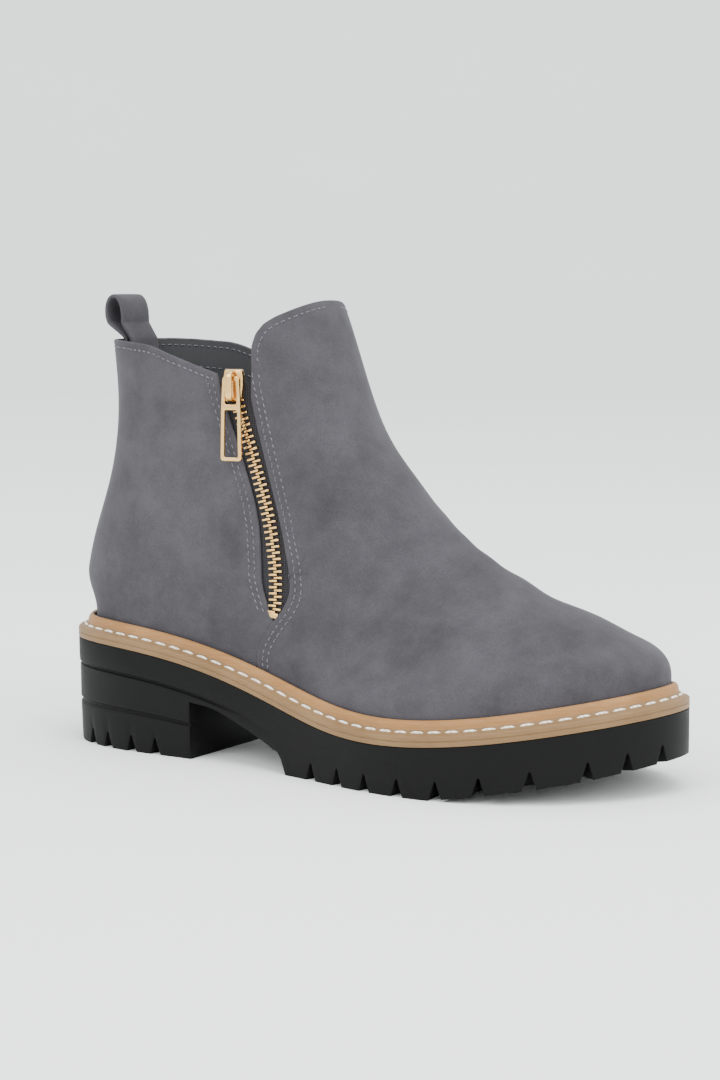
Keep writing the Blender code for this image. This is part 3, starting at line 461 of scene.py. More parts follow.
def even_rows(steps):
    """Rows of the table of sections, spaced evenly along the sole line and the top line. One of
    them is the row that just touches the sole line behind the heel."""
    fine = np.linspace(0, len(SECTIONS) - 1, 1200)
    turns = last_turn(fine)
    side = -np.ones(len(fine))
    low = upper_points(fine, turns, side)
    high = upper_points(fine, np.zeros(len(fine)), side)
    low_step = np.linalg.norm(np.diff(low, axis=0), axis=1)
    high_step = np.linalg.norm(np.diff(high, axis=0), axis=1)
    run = np.concatenate([[0], np.cumsum(low_step + 0.7 * high_step)])
    rows = np.interp(np.linspace(0, run[-1], steps + 1), run, fine)
    heel_row = fine[np.nonzero(turns < math.pi)[0][0] - 1]
    rows[int(np.argmin(np.abs(rows - heel_row)))] = heel_row
    return rows
# %% [markdown]
# Finishes
#
# Each finish is built from what the real one is and how its surface came about. One helper turns an
# sRGB hex colour into linear light, and one adds a node with its settings and its links. Patterns
# read Object coordinates, so their scale is in real metres: a noise of scale 1 / 0.012 has clouds
# of about 12 mm.

# %% Colour and node helpers
def linear(code):
    """An sRGB hex colour as linear light."""
    parts = [int(code[k:k + 2], 16) / 255 for k in (1, 3, 5)]
    return tuple(v / 12.92 if v <= 0.04045 else ((v + 0.055) / 1.055) ** 2.4 for v in parts) + (1.0,)


def add_node(tree, kind, values=None, links=None, **settings):
    """A node with its settings, the values of its inputs, and links from other nodes' outputs."""
    made = tree.nodes.new(kind)
    for key, value in settings.items():
        setattr(made, key, value)
    for key, value in (values or {}).items():
        made.inputs[key].default_value = value
    for key, output in (links or {}).items():
        tree.links.new(output, made.inputs[key])
    return made


def new_finish(name, roughness, metallic=0.0):
    made = bpy.data.materials.new(name)
    made.use_nodes = True
    shader = made.node_tree.nodes["Principled BSDF"]
    shader.inputs["Roughness"].default_value = roughness
    shader.inputs["Metallic"].default_value = metallic
    return made, made.node_tree, shader


def noise(tree, place, size, detail=3.0, rough=0.5):
    """Noise whose grains are about size metres across."""
    return add_node(tree, "ShaderNodeTexNoise", {"Scale": 1 / size, "Detail": detail, "Roughness": rough},
                    {"Vector": place})


def between_colours(tree, factor, first, second, low=0.35, high=0.65):
    """Ramp from one colour to another as a noise goes from low to high."""
    ramp = add_node(tree, "ShaderNodeValToRGB", links={"Fac": factor})
    ramp.color_ramp.elements[0].position = low
    ramp.color_ramp.elements[0].color = linear(first)
    ramp.color_ramp.elements[1].position = high
    ramp.color_ramp.elements[1].color = linear(second)
    return ramp.outputs["Color"]


def mixed(tree, factor, first, second, blend="MIX"):
    made = add_node(tree, "ShaderNodeMix", data_type="RGBA", blend_type=blend)
    for socket, value in ((0, factor), (6, first), (7, second)):
        if isinstance(value, bpy.types.NodeSocket):
            tree.links.new(value, made.inputs[socket])
        else:
            made.inputs[socket].default_value = value
    return made.outputs[2]


def bump(tree, shader, height, distance, strength=1.0):
    made = add_node(tree, "ShaderNodeBump", {"Strength": strength, "Distance": distance},
                    {"Height": height})
    tree.links.new(made.outputs["Normal"], shader.inputs["Normal"])
    return made


# %% [markdown]
# Nubuck
#
# Nubuck is full-grain hide sanded on its outer side. The sanding leaves a nap of hairs under a tenth
# of a millimetre, which scatters light: no gloss, a faint pale edge where it turns away, and soft
# clouds where a hand has brushed the nap. The clouds here are 42 mm and 13 mm wide, and the nap is
# drawn at 0.7 mm, coarser than life, so that it shows at all.

# %% Nubuck
def nubuck(name, deep, pale):
    made, tree, shader = new_finish(name, 0.92)
    place = add_node(tree, "ShaderNodeTexCoord").outputs["Object"]
    clouds = noise(tree, place, 0.042, 3.0, 0.5)
    brushed = noise(tree, place, 0.013, 5.0, 0.68)
    nap = noise(tree, place, 0.0007, 2.0, 0.7)
    both = add_node(tree, "ShaderNodeMath", {1: 0.45}, {0: brushed.outputs["Fac"]}, operation="MULTIPLY")
    both = add_node(tree, "ShaderNodeMath", {1: 0.55, 2: 0.0},
                    {0: clouds.outputs["Fac"], 2: both.outputs[0]}, operation="MULTIPLY_ADD")
    colour = between_colours(tree, both.outputs[0], deep, pale, 0.34, 0.66)
    grain = between_colours(tree, nap.outputs["Fac"], "#C4C4C4", "#FFFFFF", 0.25, 0.75)
    tree.links.new(mixed(tree, 0.55, colour, grain, "MULTIPLY"), shader.inputs["Base Color"])
    shader.inputs["Specular IOR Level"].default_value = 0.22
    shader.inputs["Sheen Weight"].default_value = 0.16
    shader.inputs["Sheen Roughness"].default_value = 0.45
    shader.inputs["Sheen Tint"].default_value = linear("#B9B9C4")
    bump(tree, shader, nap.outputs["Fac"], 0.00012, 0.55)
    return made


NUBUCK = nubuck("grey_nubuck", "#38363A", "#4D4B50")

# %% [markdown]
# Lining, tape and threads
#
# The lining is a dull knitted cloth with threads of about 0.5 mm. Zip tape is a tighter weave in near
# black. Threads are twisted, so their light comes in slanting bands along them. Two crossed waves
# make a weave, and one slanted wave makes a twist.

# %% Lining, tape and threads
def woven(name, dark, light, thread, depth):
    made, tree, shader = new_finish(name, 0.9)
    place = add_node(tree, "ShaderNodeTexCoord").outputs["Object"]
    waves = [add_node(tree, "ShaderNodeTexWave", {"Scale": 1 / (thread * 6.28), "Distortion": 0.6},
                      {"Vector": place}, bands_direction=axis) for axis in ("X", "Z")]
    weave = add_node(tree, "ShaderNodeMath", links={0: waves[0].outputs["Fac"], 1: waves[1].outputs["Fac"]},
                     operation="MULTIPLY")
    tree.links.new(between_colours(tree, weave.outputs[0], dark, light, 0.0, 0.7),
                   shader.inputs["Base Color"])
    shader.inputs["Specular IOR Level"].default_value = 0.2
    bump(tree, shader, weave.outputs[0], depth, 0.6)
    return made


def thread(name, dark, light, twist):
    made, tree, shader = new_finish(name, 0.65)
    place = add_node(tree, "ShaderNodeTexCoord").outputs["Object"]
    turns = add_node(tree, "ShaderNodeTexWave", {"Scale": 1 / (twist * 6.28)}, {"Vector": place},
                     bands_direction="DIAGONAL")
    tree.links.new(between_colours(tree, turns.outputs["Fac"], dark, light, 0.1, 0.8),
                   shader.inputs["Base Color"])
    bump(tree, shader, turns.outputs["Fac"], 0.00008, 0.7)
    return made


LINING = woven("knitted_lining", "#393A3B", "#3F4142", 0.0005, 0.00006)
TAPE = woven("zip_tape_weave", "#28282B", "#3A393D", 0.0005, 0.00012)
GREY_THREAD = thread("grey_thread", "#3C3A40", "#605E66", 0.0005)
WELT_THREAD = thread("pale_waxed_thread", "#CFC5B4", "#F2ECE2", 0.0008)

# %% [markdown]
# Welt, rubber and gilt metal
#
# The welt is a strip of coated tan leather: smooth, half matt, with fine streaks along it where it
# was cut. The sole is moulded black rubber, which comes out of its mould with a fine grain and a
# soft, wide highlight. The zip is brass with a thin pale gold plating, so it is a metal with a low
# roughness that wear makes uneven.

# %% Welt, rubber and gilt metal
def tan_welting(name, deep, pale):
    made, tree, shader = new_finish(name, 0.5)
    place = add_node(tree, "ShaderNodeTexCoord").outputs["Object"]
    flat = add_node(tree, "ShaderNodeMapping", {"Scale": (0.25, 0.25, 3.0)}, {"Vector": place})
    streaks = noise(tree, flat.outputs["Vector"], 0.0018, 3.0, 0.55)
    patches = noise(tree, place, 0.020, 3.0, 0.5)
    streaked = between_colours(tree, streaks.outputs["Fac"], deep, pale, 0.3, 0.7)
    shader.inputs["Specular IOR Level"].default_value = 0.25
    patched = between_colours(tree, patches.outputs["Fac"], "#E6E2DC", "#FFFFFF", 0.35, 0.7)
    tree.links.new(mixed(tree, 0.8, streaked, patched, "MULTIPLY"), shader.inputs["Base Color"])
    bump(tree, shader, streaks.outputs["Fac"], 0.00008, 0.5)
    return made


def moulded_rubber(name, deep, pale):
    made, tree, shader = new_finish(name, 0.55)
    place = add_node(tree, "ShaderNodeTexCoord").outputs["Object"]
    grain = noise(tree, place, 0.0006, 2.0, 0.6)
    dust = noise(tree, place, 0.018, 4.0, 0.6)
    tree.links.new(between_colours(tree, dust.outputs["Fac"], deep, pale, 0.35, 0.7),
                   shader.inputs["Base Color"])
    shader.inputs["Specular IOR Level"].default_value = 0.14
    rough = add_node(tree, "ShaderNodeMapRange", {"To Min": 0.46, "To Max": 0.66},
                     {"Value": dust.outputs["Fac"]})
    tree.links.new(rough.outputs["Result"], shader.inputs["Roughness"])
    bump(tree, shader, grain.outputs["Fac"], 0.00010, 0.5)
    return made


def gilt(name, colour):
    made, tree, shader = new_finish(name, 0.24, 1.0)
    place = add_node(tree, "ShaderNodeTexCoord").outputs["Object"]
    wear = noise(tree, place, 0.0022, 4.0, 0.6)
    rough = add_node(tree, "ShaderNodeMapRange", {"To Min": 0.16, "To Max": 0.34},
                     {"Value": wear.outputs["Fac"]})
    tree.links.new(rough.outputs["Result"], shader.inputs["Roughness"])
    shader.inputs["Base Color"].default_value = linear(colour)
    bump(tree, shader, wear.outputs["Fac"], 0.00004, 0.3)
    return made


WELTING = tan_welting("tan_welting", "#7A5F40", "#836848")
WELT_BEAD = tan_welting("tan_bead", "#92693C", "#9E764A")
RUBBER = moulded_rubber("black_moulded_rubber", "#050505", "#080808")
GILT = gilt("pale_gilt_brass", "#E2B878")
# %% [markdown]
# Cutting the panels
#
# A shoemaker cuts panels from a flat hide and pulls them over the last. Here the whole last is
# covered with one fine sheet, and each panel is what is left of it inside the panel's own lines. The
# lines are given from the side, as the pattern maker draws them: how far forward, and how high over
# the welt. `trim` moves or splits the edges that a line crosses, so the cut is smooth and not a
# staircase.

# %% The fine sheet and its cuts
FINE_ROWS = 250
FINE_AROUND = 210


def last_sheet(rows, around):
    """Open sheet over the whole last, as a bmesh, with its faces pointing outwards."""
    places = even_rows(rows)
    # Past the heel the rows shorten fast, so a few more rows there keep the sheet free of a crease
    heel = int(np.nonzero(last_turn(places) < math.pi)[0][0]) - 1
    gap = places[heel + 1] - places[heel]
    places = np.sort(np.concatenate([places, places[heel] + gap * np.array([0.03, 0.1, 0.22, 0.4, 0.65])]))
    limit = last_turn(places)
    share = np.linspace(-1, 1, around + 1)
    turns = (limit[:, None] * share[None, :]).ravel()
    points = upper_points(np.repeat(places, len(share)), np.abs(turns), np.where(turns < 0, -1.0, 1.0))
    built = bmesh.new()
    verts = [built.verts.new(point) for point in points.tolist()]
    wide = len(share)
    for i in range(len(places) - 1):
        for j in range(wide - 1):
            low = i * wide + j
            built.faces.new((verts[low], verts[low + wide], verts[low + wide + 1], verts[low + 1]))
    bmesh.ops.remove_doubles(built, verts=built.verts, dist=0.00001)
    bmesh.ops.dissolve_degenerate(built, edges=built.edges, dist=0.00002)
    short = [edge for edge in built.edges if edge.calc_length() < 0.00005]
    bmesh.ops.collapse(built, edges=short)
    built.normal_update()
    votes = sum(face.normal.y * face.calc_center_median().y for face in built.faces)
    if votes < 0:
        bmesh.ops.reverse_faces(built, faces=built.faces)
    return built


def side_shares(points):
    """Station and height share of points, the side view that the panel lines are given in."""
    station = points[:, 0] / SOLE_LENGTH
    return station, (points[:, 2] - welt_line(points[:, 0])) / UPPER_HEIGHT


def trim(built, keep):
    """Cuts an open sheet along the line where keep(station, share) is zero, in metres, and drops
    the faces where it is negative."""
    points = np.array([vert.co for vert in built.verts])
    values = keep(*side_shares(points))
    worth = {vert: float(value) for vert, value in zip(built.verts, values)}
    snap = 0.2
    for edge in list(built.edges):
        first, second = edge.verts
        a, b = worth[first], worth[second]
        if a * b >= 0:
            continue
        t = a / (a - b)
        if t < snap:
            first.co = first.co.lerp(second.co, t)
            worth[first] = 0.0
        elif t > 1 - snap:
            second.co = first.co.lerp(second.co, t)
            worth[second] = 0.0
    for edge in list(built.edges):
        first, second = edge.verts
        a, b = worth[first], worth[second]
        if a * b < 0:
            _, added = bmesh.utils.edge_split(edge, first, a / (a - b))
            worth[added] = 0.0
    on_line = [vert for vert in built.verts if worth[vert] == 0.0]
    bmesh.ops.connect_verts(built, verts=on_line)
    gone = [face for face in built.faces if sum(worth[vert] for vert in face.verts) < 0]
    bmesh.ops.delete(built, geom=gone, context="FACES")
    loose = [vert for vert in built.verts if not vert.link_faces]
    bmesh.ops.delete(built, geom=loose, context="VERTS")
    built.normal_update()


# %% [markdown]
# The lines of the panels
#
# Each line is a soft curve through a few rows. The quarter ends at the zip's rear edge, and below
# the zip it runs on for 4 mm under the front panel, as a lapped seam does. The front panel ends at
# the zip's front edge, follows the seam down to the welt, and its top corner is round. The sheet is
# cut short of each line by the radius of the fold that is added later.

# %% Panel lines
EDGE_ROUND = 0.00075


def softened(rows):
    """Function through (place, value) rows, joined by a curve that doesn't overshoot."""
    rows = sorted(rows)
    places = np.array(column(rows, 0), float)
    values = np.array(column(rows, 1), float)
    slopes = np.gradient(values, places)

    def at(where):
        where = np.clip(where, places[0], places[-1])
        k = np.clip(np.searchsorted(places, where, side="right") - 1, 0, len(places) - 2)
        gap = places[k + 1] - places[k]
        t = (where - places[k]) / gap
        start = (2 * t ** 3 - 3 * t ** 2 + 1) * values[k] + (t ** 3 - 2 * t ** 2 + t) * gap * slopes[k]
        end = (3 * t ** 2 - 2 * t ** 3) * values[k + 1] + (t ** 3 - t ** 2) * gap * slopes[k + 1]
        return start + end
    return at


LAP = 0.014
FLAP_REAR = 0.3705
FLAP_TOP = [row for row in COLLAR_LINE if row[0] >= FLAP_REAR and row[1] >= 0.838]
LOW_COLLAR = [row for row in COLLAR_LINE if row[0] < 0.35]
FOOT_SHARE, FOOT_STATION = SEAM_LINE[0]
PANEL_REAR = SEAM_LINE[1:] + [(h, front) for h, _, front in ZIP_OPENING]
PANEL_REAR += [(0.815, 0.3680), (0.838, FLAP_REAR), (0.90, FLAP_REAR), (1.10, FLAP_REAR)]
QUARTER_FRONT = [(h, s + LAP) for h, s in SEAM_LINE[1:]] + [(h, rear) for h, rear, _ in ZIP_OPENING[:-1]]
QUARTER_FRONT += [(FOOT_SHARE + 0.010, FOOT_STATION), (FOOT_SHARE, FOOT_STATION + 0.006), (0.86, 0.3060)]
panel_rear = softened(PANEL_REAR)
quarter_front = softened(QUARTER_FRONT)
low_collar = softened(LOW_COLLAR)


def inside_panel_rear(station, share):
    return (station - panel_rear(share)) * SOLE_LENGTH - EDGE_ROUND


def inside_panel_top(station, share):
    """Distance under the flap's top line, measured square to the line."""
    line = np.array([(s * SOLE_LENGTH, h * UPPER_HEIGHT) for s, h in FLAP_TOP])
    line = np.vstack([[line[0, 0], 0.0], line])
    spots = np.stack([station * SOLE_LENGTH, share * UPPER_HEIGHT], axis=1)
    best = np.full(len(spots), 1.0)
    sign = np.ones(len(spots))
    for a, b in zip(line[:-1], line[1:]):
        step = b - a
        t = np.clip(((spots - a) @ step) / (step @ step), 0, 1)
        gap = spots - (a + t[:, None] * step)
        reach = np.hypot(gap[:, 0], gap[:, 1])
        cross = step[0] * gap[:, 1] - step[1] * gap[:, 0]
        closer = reach < best - 1e-9
        best = np.where(closer, reach, best)
        sign = np.where(closer, np.where(cross < 0, 1.0, -1.0), sign)
    return best * sign - EDGE_ROUND


def inside_quarter_front(station, share):
    return (quarter_front(share) - station) * SOLE_LENGTH - EDGE_ROUND


def inside_low_collar(station, share):
    return (low_collar(station) - share) * UPPER_HEIGHT - EDGE_ROUND


# %% [markdown]
# Folded edges
#
# The cut edges of the panels are skived thin and folded, so they end in a small round. `round_edge`
# pulls the open boundary of a sheet into a half circle that ends behind the sheet. `lift` raises a
# whole panel from the last by the thickness of what lies under it.

# %% Rounding and lifting
def lift(built, height):
    built.normal_update()
    for vert in built.verts:
        vert.co = vert.co + vert.normal * height


def round_edge(built, radius, only=None):
    """Half-round fold along the open boundary of a sheet, turned inwards."""
    built.normal_update()
    ring = [edge for edge in built.edges if edge.is_boundary]
    if only is not None:
        ring = [edge for edge in ring if all(only(vert.co) for vert in edge.verts)]
    facts = {}
    for edge in ring:
        face = edge.link_faces[0]
        middle = (edge.verts[0].co + edge.verts[1].co) / 2
        along = (edge.verts[1].co - edge.verts[0].co).normalized()
        out = along.cross(face.normal).normalized()
        if out.dot(middle - face.calc_center_median()) < 0:
            out = -out
        for vert in edge.verts:
            entry = facts.setdefault(vert, [Vector((0, 0, 0)), vert.normal.copy(), vert.co.copy()])
            entry[0] += out
    current = {vert: vert for vert in facts}
    edges = ring
    steps = 4
    for step in range(1, steps + 1):
        angle = math.pi * step / steps
        grown = bmesh.ops.extrude_edge_only(built, edges=edges)
        new_edges = [item for item in grown["geom"] if isinstance(item, bmesh.types.BMEdge)]
        new_verts = [item for item in grown["geom"] if isinstance(item, bmesh.types.BMVert)]
        link = {}
        for vert in new_verts:
            for edge in vert.link_edges:
                other = edge.other_vert(vert)
                if other in current:
                    link[vert] = current[other]
        for vert, source in link.items():
            out, normal, place = facts[source]
            out = out.normalized()
            vert.co = place + out * radius * math.sin(angle) - normal * radius * (1 - math.cos(angle))
        current = link
        edges = new_edges
    built.normal_update()


FOLD_START = 0.004


def above_welt(co):
    return co.z > float(welt_line(co.x)) + FOLD_START


# %% [markdown]
# Stitch rows and their troughs
#
# A row of stitches pulls the leather down into a shallow trough, a small move of the sheet along its
# own normal, made before the edge is folded. The trough is 0.25 mm deep and 1.8 mm wide.

# %% Troughs along the stitch rows
ROW_INSET = 0.0022
ROW_SPACING = 0.0027
TROUGH_DEPTH = 0.00025
TROUGH_WIDTH = 0.0009


def press_rows(built, measures, rows):
    """Presses troughs at given distances inside the lines whose distances measures gives."""
    points = np.array([vert.co for vert in built.verts])
    station, share = side_shares(points)
    down = np.zeros(len(points))
    for measure, insets in zip(measures, rows):
        distance = measure(station, share)
        for inset in insets:
            down = np.maximum(down, np.exp(-((distance - inset) / TROUGH_WIDTH) ** 2))
    built.normal_update()
    for vert, amount in zip(built.verts, down):
        vert.co = vert.co - vert.normal * TROUGH_DEPTH * float(amount)


# %% [markdown]
# The quarter
#
# One piece of nubuck runs from the rear edge of the outer zip round the heel to the inner zip. Its
# front edge and its collar are folded.

# %% Quarter
WHOLE_SHEET = last_sheet(FINE_ROWS, FINE_AROUND)
quarter_mesh = WHOLE_SHEET.copy()
trim(quarter_mesh, inside_quarter_front)
trim(quarter_mesh, inside_low_collar)
press_rows(quarter_mesh, (inside_quarter_front, inside_low_collar),
           ((ROW_INSET, ROW_INSET + ROW_SPACING), (ROW_INSET,)))
QUARTER_TREE = BVHTree.FromBMesh(quarter_mesh)
round_edge(quarter_mesh, EDGE_ROUND, above_welt)
quarter = finish_piece("quarter_nubuck", quarter_mesh, NUBUCK, 75)
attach(quarter, BODY)
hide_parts("upper")
report(quarter)

# %% [markdown]
# The front panel
#
# Vamp and shaft front are one piece here, lapped over the quarter by the thickness of the hide,
# 0.8 mm. Its rear edge makes the seam from the zip's foot down to the welt.

# %% Front panel
panel_mesh = WHOLE_SHEET.copy()
trim(panel_mesh, inside_panel_rear)
trim(panel_mesh, inside_panel_top)
press_rows(panel_mesh, (inside_panel_rear, inside_panel_top),
           ((ROW_INSET, ROW_INSET + ROW_SPACING), (ROW_INSET,)))
lift(panel_mesh, PANEL_STEP)
PANEL_TREE = BVHTree.FromBMesh(panel_mesh)
round_edge(panel_mesh, EDGE_ROUND, above_welt)
front_panel = finish_piece("front_panel_nubuck", panel_mesh, NUBUCK, 75)
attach(front_panel, BODY)
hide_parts("upper")
report(front_panel)

# %% [markdown]
# The lining
#
# Inside, a knitted lining covers both panels. It is the same sheet, set in by the hide's thickness
# and turned round so that its faces look at the foot. A band of facing cloth runs under the collar,
# and its lower edge shows as a step.

# %% Lining
LINING_DEPTH = 0.0015
FACING_DEPTH = 0.0135
FACING_SLOPE = 0.0008
FACING_THICK = 0.0005


def lining_sheet(keeps, depth):
    built = last_sheet(FINE_ROWS // 2, FINE_AROUND // 2)
    for keep in keeps:
        trim(built, keep)
    lift(built, -depth)
    bmesh.ops.reverse_faces(built, faces=built.faces)
    return built


def press_facing(built, measure):
    """The lining below the facing band lies deeper by the band's own thickness."""
    points = np.array([vert.co for vert in built.verts])
    distance = measure(*side_shares(points))
    built.normal_update()
    for vert, value in zip(built.verts, distance):
        edge = min(max((float(value) - FACING_DEPTH) / FACING_SLOPE, 0), 1)
        vert.co = vert.co - vert.normal * FACING_THICK * edge


quarter_lining = lining_sheet((inside_quarter_front, inside_low_collar), LINING_DEPTH)
press_facing(quarter_lining, inside_low_collar)
panel_lining = lining_sheet((inside_panel_rear, inside_panel_top), LINING_DEPTH - PANEL_STEP)
press_facing(panel_lining, inside_panel_top)
QUARTER_LINING_TREE = BVHTree.FromBMesh(quarter_lining)
PANEL_LINING_TREE = BVHTree.FromBMesh(panel_lining)
for label, mesh in (("quarter_lining", quarter_lining), ("front_panel_lining", panel_lining)):
    lining = finish_piece(label, mesh, LINING, 60)
    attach(lining, BODY)
    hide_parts("upper")
    report(lining)
# %% [markdown]
# The outsole
#
# The sole is one rubber moulding: a block heel, an arch and a lugged forepart. It is built as the
# solid is, ring on ring down its side, but with rings so close that its edge runs smoothly. Under it
# the waist is cut out with one wedge, and the gaps between the lugs with small ones. A narrow bevel
# then rounds every edge, as the mould leaves it.

# %% Rings and wedges
SOLE_STEPS = 150


def ring_faces(built, rings, closed):
    """Joins closed rings of points into a tube, and joins the last ring to the first if closed."""
    levels = [[built.verts.new(point) for point in ring.tolist()] for ring in rings]
    pairs = list(zip(levels[:-1], levels[1:])) + ([(levels[-1], levels[0])] if closed else [])
    for low, high in pairs:
        for k in range(len(low)):
            after = (k + 1) % len(low)
            built.faces.new((low[k], low[after], high[after], high[k]))
    return levels


def fill_across(built, ring):
    """Fills a plan ring from side to side, in strips across the boot."""
    count = len(ring)
    for k in range(count // 2):
        corners = []
        for corner in (ring[k], ring[k + 1], ring[(count - k - 1) % count], ring[(count - k) % count]):
            if corner not in corners:
                corners.append(corner)
        built.faces.new(corners)


def wedge_tool(name, corners, low_y, high_y):
    """A closed wedge across the boot from side-view corners, as an object in the row."""
    built = bmesh.new()
    face = built.faces.new([built.verts.new((x, low_y, z)) for x, z in corners])
    grown = bmesh.ops.extrude_face_region(built, geom=[face])
    moved = [item for item in grown["geom"] if isinstance(item, bmesh.types.BMVert)]
    bmesh.ops.translate(built, verts=moved, vec=(0, high_y - low_y, 0))
    bmesh.ops.recalc_face_normals(built, faces=built.faces)
    return finish_piece(name, built, RUBBER)


def cut_away(piece, tool):
    step = piece.modifiers.new("cut", "BOOLEAN")
    step.operation = "DIFFERENCE"
    step.solver = "EXACT"
    step.object = tool
    apply_all(piece)
    bpy.data.objects.remove(tool, do_unlink=True)


# %% Side wall of the sole
sole_base = outline(0.0, SOLE_STEPS)
sole_top = welt_line(sole_base[:, 0])
heel_fade = np.clip((0.98 * FOREPART_START - sole_base[:, 0]) / (0.30 * FOREPART_START), 0, 1)
GROOVE_WALL = [
    (0.0, 0.35), (0.0004, 0.05), (GROOVE_DROP - 2.2 * GROOVE_HALF_HEIGHT, 0.2),
    (GROOVE_DROP - GROOVE_HALF_HEIGHT, 0.35), (GROOVE_DROP - 0.3 * GROOVE_HALF_HEIGHT, 1.4),
    (GROOVE_DROP + 0.3 * GROOVE_HALF_HEIGHT, 1.4), (GROOVE_DROP + GROOVE_HALF_HEIGHT, 0.6),
]
FINE_LOWER_WALL = [(0.40, 0.7), (0.425, 0.8), (0.445, 1.7), (0.47, 1.7), (0.495, 0.9), (0.52, 0.8),
                   (0.97, 1.3), (1.0, 1.6)]


def wall_ring(height, inset_share):
    flat = outline(inset_share * GROOVE_DEPTH, SOLE_STEPS)
    edge = flat if inset_share < 0.3 and height[0] > sole_top[0] - 0.001 else sole_base
    xy = edge + (flat - edge) * heel_fade[:, None]
    return np.column_stack([xy, height])


sole_rings = [wall_ring(sole_top - drop, inset_share) for drop, inset_share in GROOVE_WALL]
wall_start = sole_top - GROOVE_WALL[-1][0]
wall_foot = tread_line(sole_base[:, 0])
sole_rings += [wall_ring(wall_start + (wall_foot - wall_start) * share, inset_share)
               for share, inset_share in FINE_LOWER_WALL]
sole_mesh = bmesh.new()
sole_levels = ring_faces(sole_mesh, sole_rings, closed=False)
fill_across(sole_mesh, sole_levels[0])
fill_across(sole_mesh, sole_levels[-1])
bmesh.ops.remove_doubles(sole_mesh, verts=sole_mesh.verts, dist=0.00001)
bmesh.ops.recalc_face_normals(sole_mesh, faces=sole_mesh.faces)
sole = finish_piece("outsole_rubber", sole_mesh, RUBBER)

# %% Waist
waist_run = FOREPART_START - HEEL_LENGTH
waist_line = softened([(HEEL_LENGTH + share * waist_run, height * WAIST_HEIGHT)
                       for share, height in WAIST_LINE])
waist_x = np.linspace(HEEL_LENGTH, HEEL_LENGTH + WAIST_LINE[-1][0] * waist_run, 26)
waist_corners = [(HEEL_LENGTH, -WAIST_HEIGHT)] + [(float(x), float(waist_line(x))) for x in waist_x]
waist_corners.append((float(waist_x[-1]), -WAIST_HEIGHT))
cut_away(sole, wedge_tool("waist_wedge", waist_corners, -2 * LATERAL_REACH, 2 * LATERAL_REACH))

# %% [markdown]
# The gaps between the lugs
#
# The lugs are parted by narrow gaps that are widest at the ground and close in a round point. Each
# gap is the same wedge, turned square to the sole's edge at its place.

# %% Gaps between the lugs
GAP_SHAPE = [(-0.80, -0.6), (0.80, -0.6), (0.20, 0.62), (0.11, 0.88), (0.0, 1.0), (-0.11, 0.88),
             (-0.20, 0.62)]
gap_mesh = bmesh.new()
for station in NOTCH_STATIONS:
    near = int(round(float(angle_of(station)) / math.pi * EDGE_STEPS))
    for k in (near, 2 * EDGE_STEPS - near):
        before, after = EDGE[k - 1], EDGE[(k + 1) % len(EDGE)]
        along = Vector((after[0] - before[0], after[1] - before[1], 0)).normalized()
        inward = Vector((-along.y, along.x, 0))
        foot = Vector((EDGE[k][0], EDGE[k][1], float(tread_line(EDGE[k][0]))))
        rings = []
        for reach in (-NOTCH_OUTSIDE, NOTCH_DEPTH):
            rings.append(np.array([
                foot + along * across * NOTCH_WIDTH + inward * reach + Vector((0, 0, rise * NOTCH_HEIGHT))
                for across, rise in GAP_SHAPE]))
        ends = ring_faces(gap_mesh, rings, closed=False)
        for end in ends:
            gap_mesh.faces.new(end)
bmesh.ops.recalc_face_normals(gap_mesh, faces=gap_mesh.faces)
cut_away(sole, finish_piece("lug_gaps", gap_mesh, RUBBER))

# %% Rounded mould edges
MOULD_ROUND = 0.0005
soften = sole.modifiers.new("mould_round", "BEVEL")
soften.width = MOULD_ROUND
soften.segments = 2
soften.limit_method = "ANGLE"
soften.angle_limit = math.radians(38)
soften.harden_normals = False
apply_all(sole)
smooth(sole, 38)
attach(sole, BODY)
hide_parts("outsole")
report(sole)

# %% [markdown]
# The welt
#
# The welt is a strip sewn round the boot between upper and sole. Seen from the side it has a band of
# two lines, then a shelf that carries the stitches, and against the upper a round bead, which is a
# shade more orange. One profile is carried round the outline, and its bead gets the second finish.

# %% Welt
WELT_STEPS = 240
FINE_WELT = [
    (0.02, 0.00), (0.00, 0.03), (0.00, 0.19), (0.035, 0.21), (0.035, 0.235), (0.00, 0.255),
    (0.00, 0.385), (0.015, 0.42), (0.06, 0.45), (0.12, 0.47), (0.34, 0.53), (0.56, 0.60), (0.60, 0.64),
    (0.615, 0.72), (0.65, 0.83), (0.71, 0.92), (0.79, 0.98), (0.87, 1.00), (0.94, 0.985), (1.00, 0.93),
    (1.00, 0.00),
]
BEAD_START = 12
welt_mesh = bmesh.new()
welt_rings = []
for inward, up in FINE_WELT:
    plan = outline(inward * WELT_DEPTH, WELT_STEPS)
    base = welt_line(outline(0.0, WELT_STEPS)[:, 0]) + CLEARANCE
    welt_rings.append(np.column_stack([plan, base + up * WELT_HEIGHT]))
welt_levels = ring_faces(welt_mesh, welt_rings, closed=True)
bead_verts = {vert for level in welt_levels[BEAD_START:-1] for vert in level}
for face in welt_mesh.faces:
    face.material_index = 1 if all(vert in bead_verts for vert in face.verts) else 0
bmesh.ops.recalc_face_normals(welt_mesh, faces=welt_mesh.faces)
welt = finish_piece("stitched_welt", welt_mesh, WELTING, 50)
welt.data.materials.append(WELT_BEAD)
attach(welt, BODY)
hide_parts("welt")
report(welt)

# %% [markdown]
# The insole is a soft board covered with the lining's cloth. It is hardly seen, so its solid stays
# and only gets the cloth.

# %% Insole
def dress_solid(node, finish):
    solid = frame["nodes"][node]
    for slot in solid.material_slots:
        slot.material = finish


dress_solid("insole", LINING)
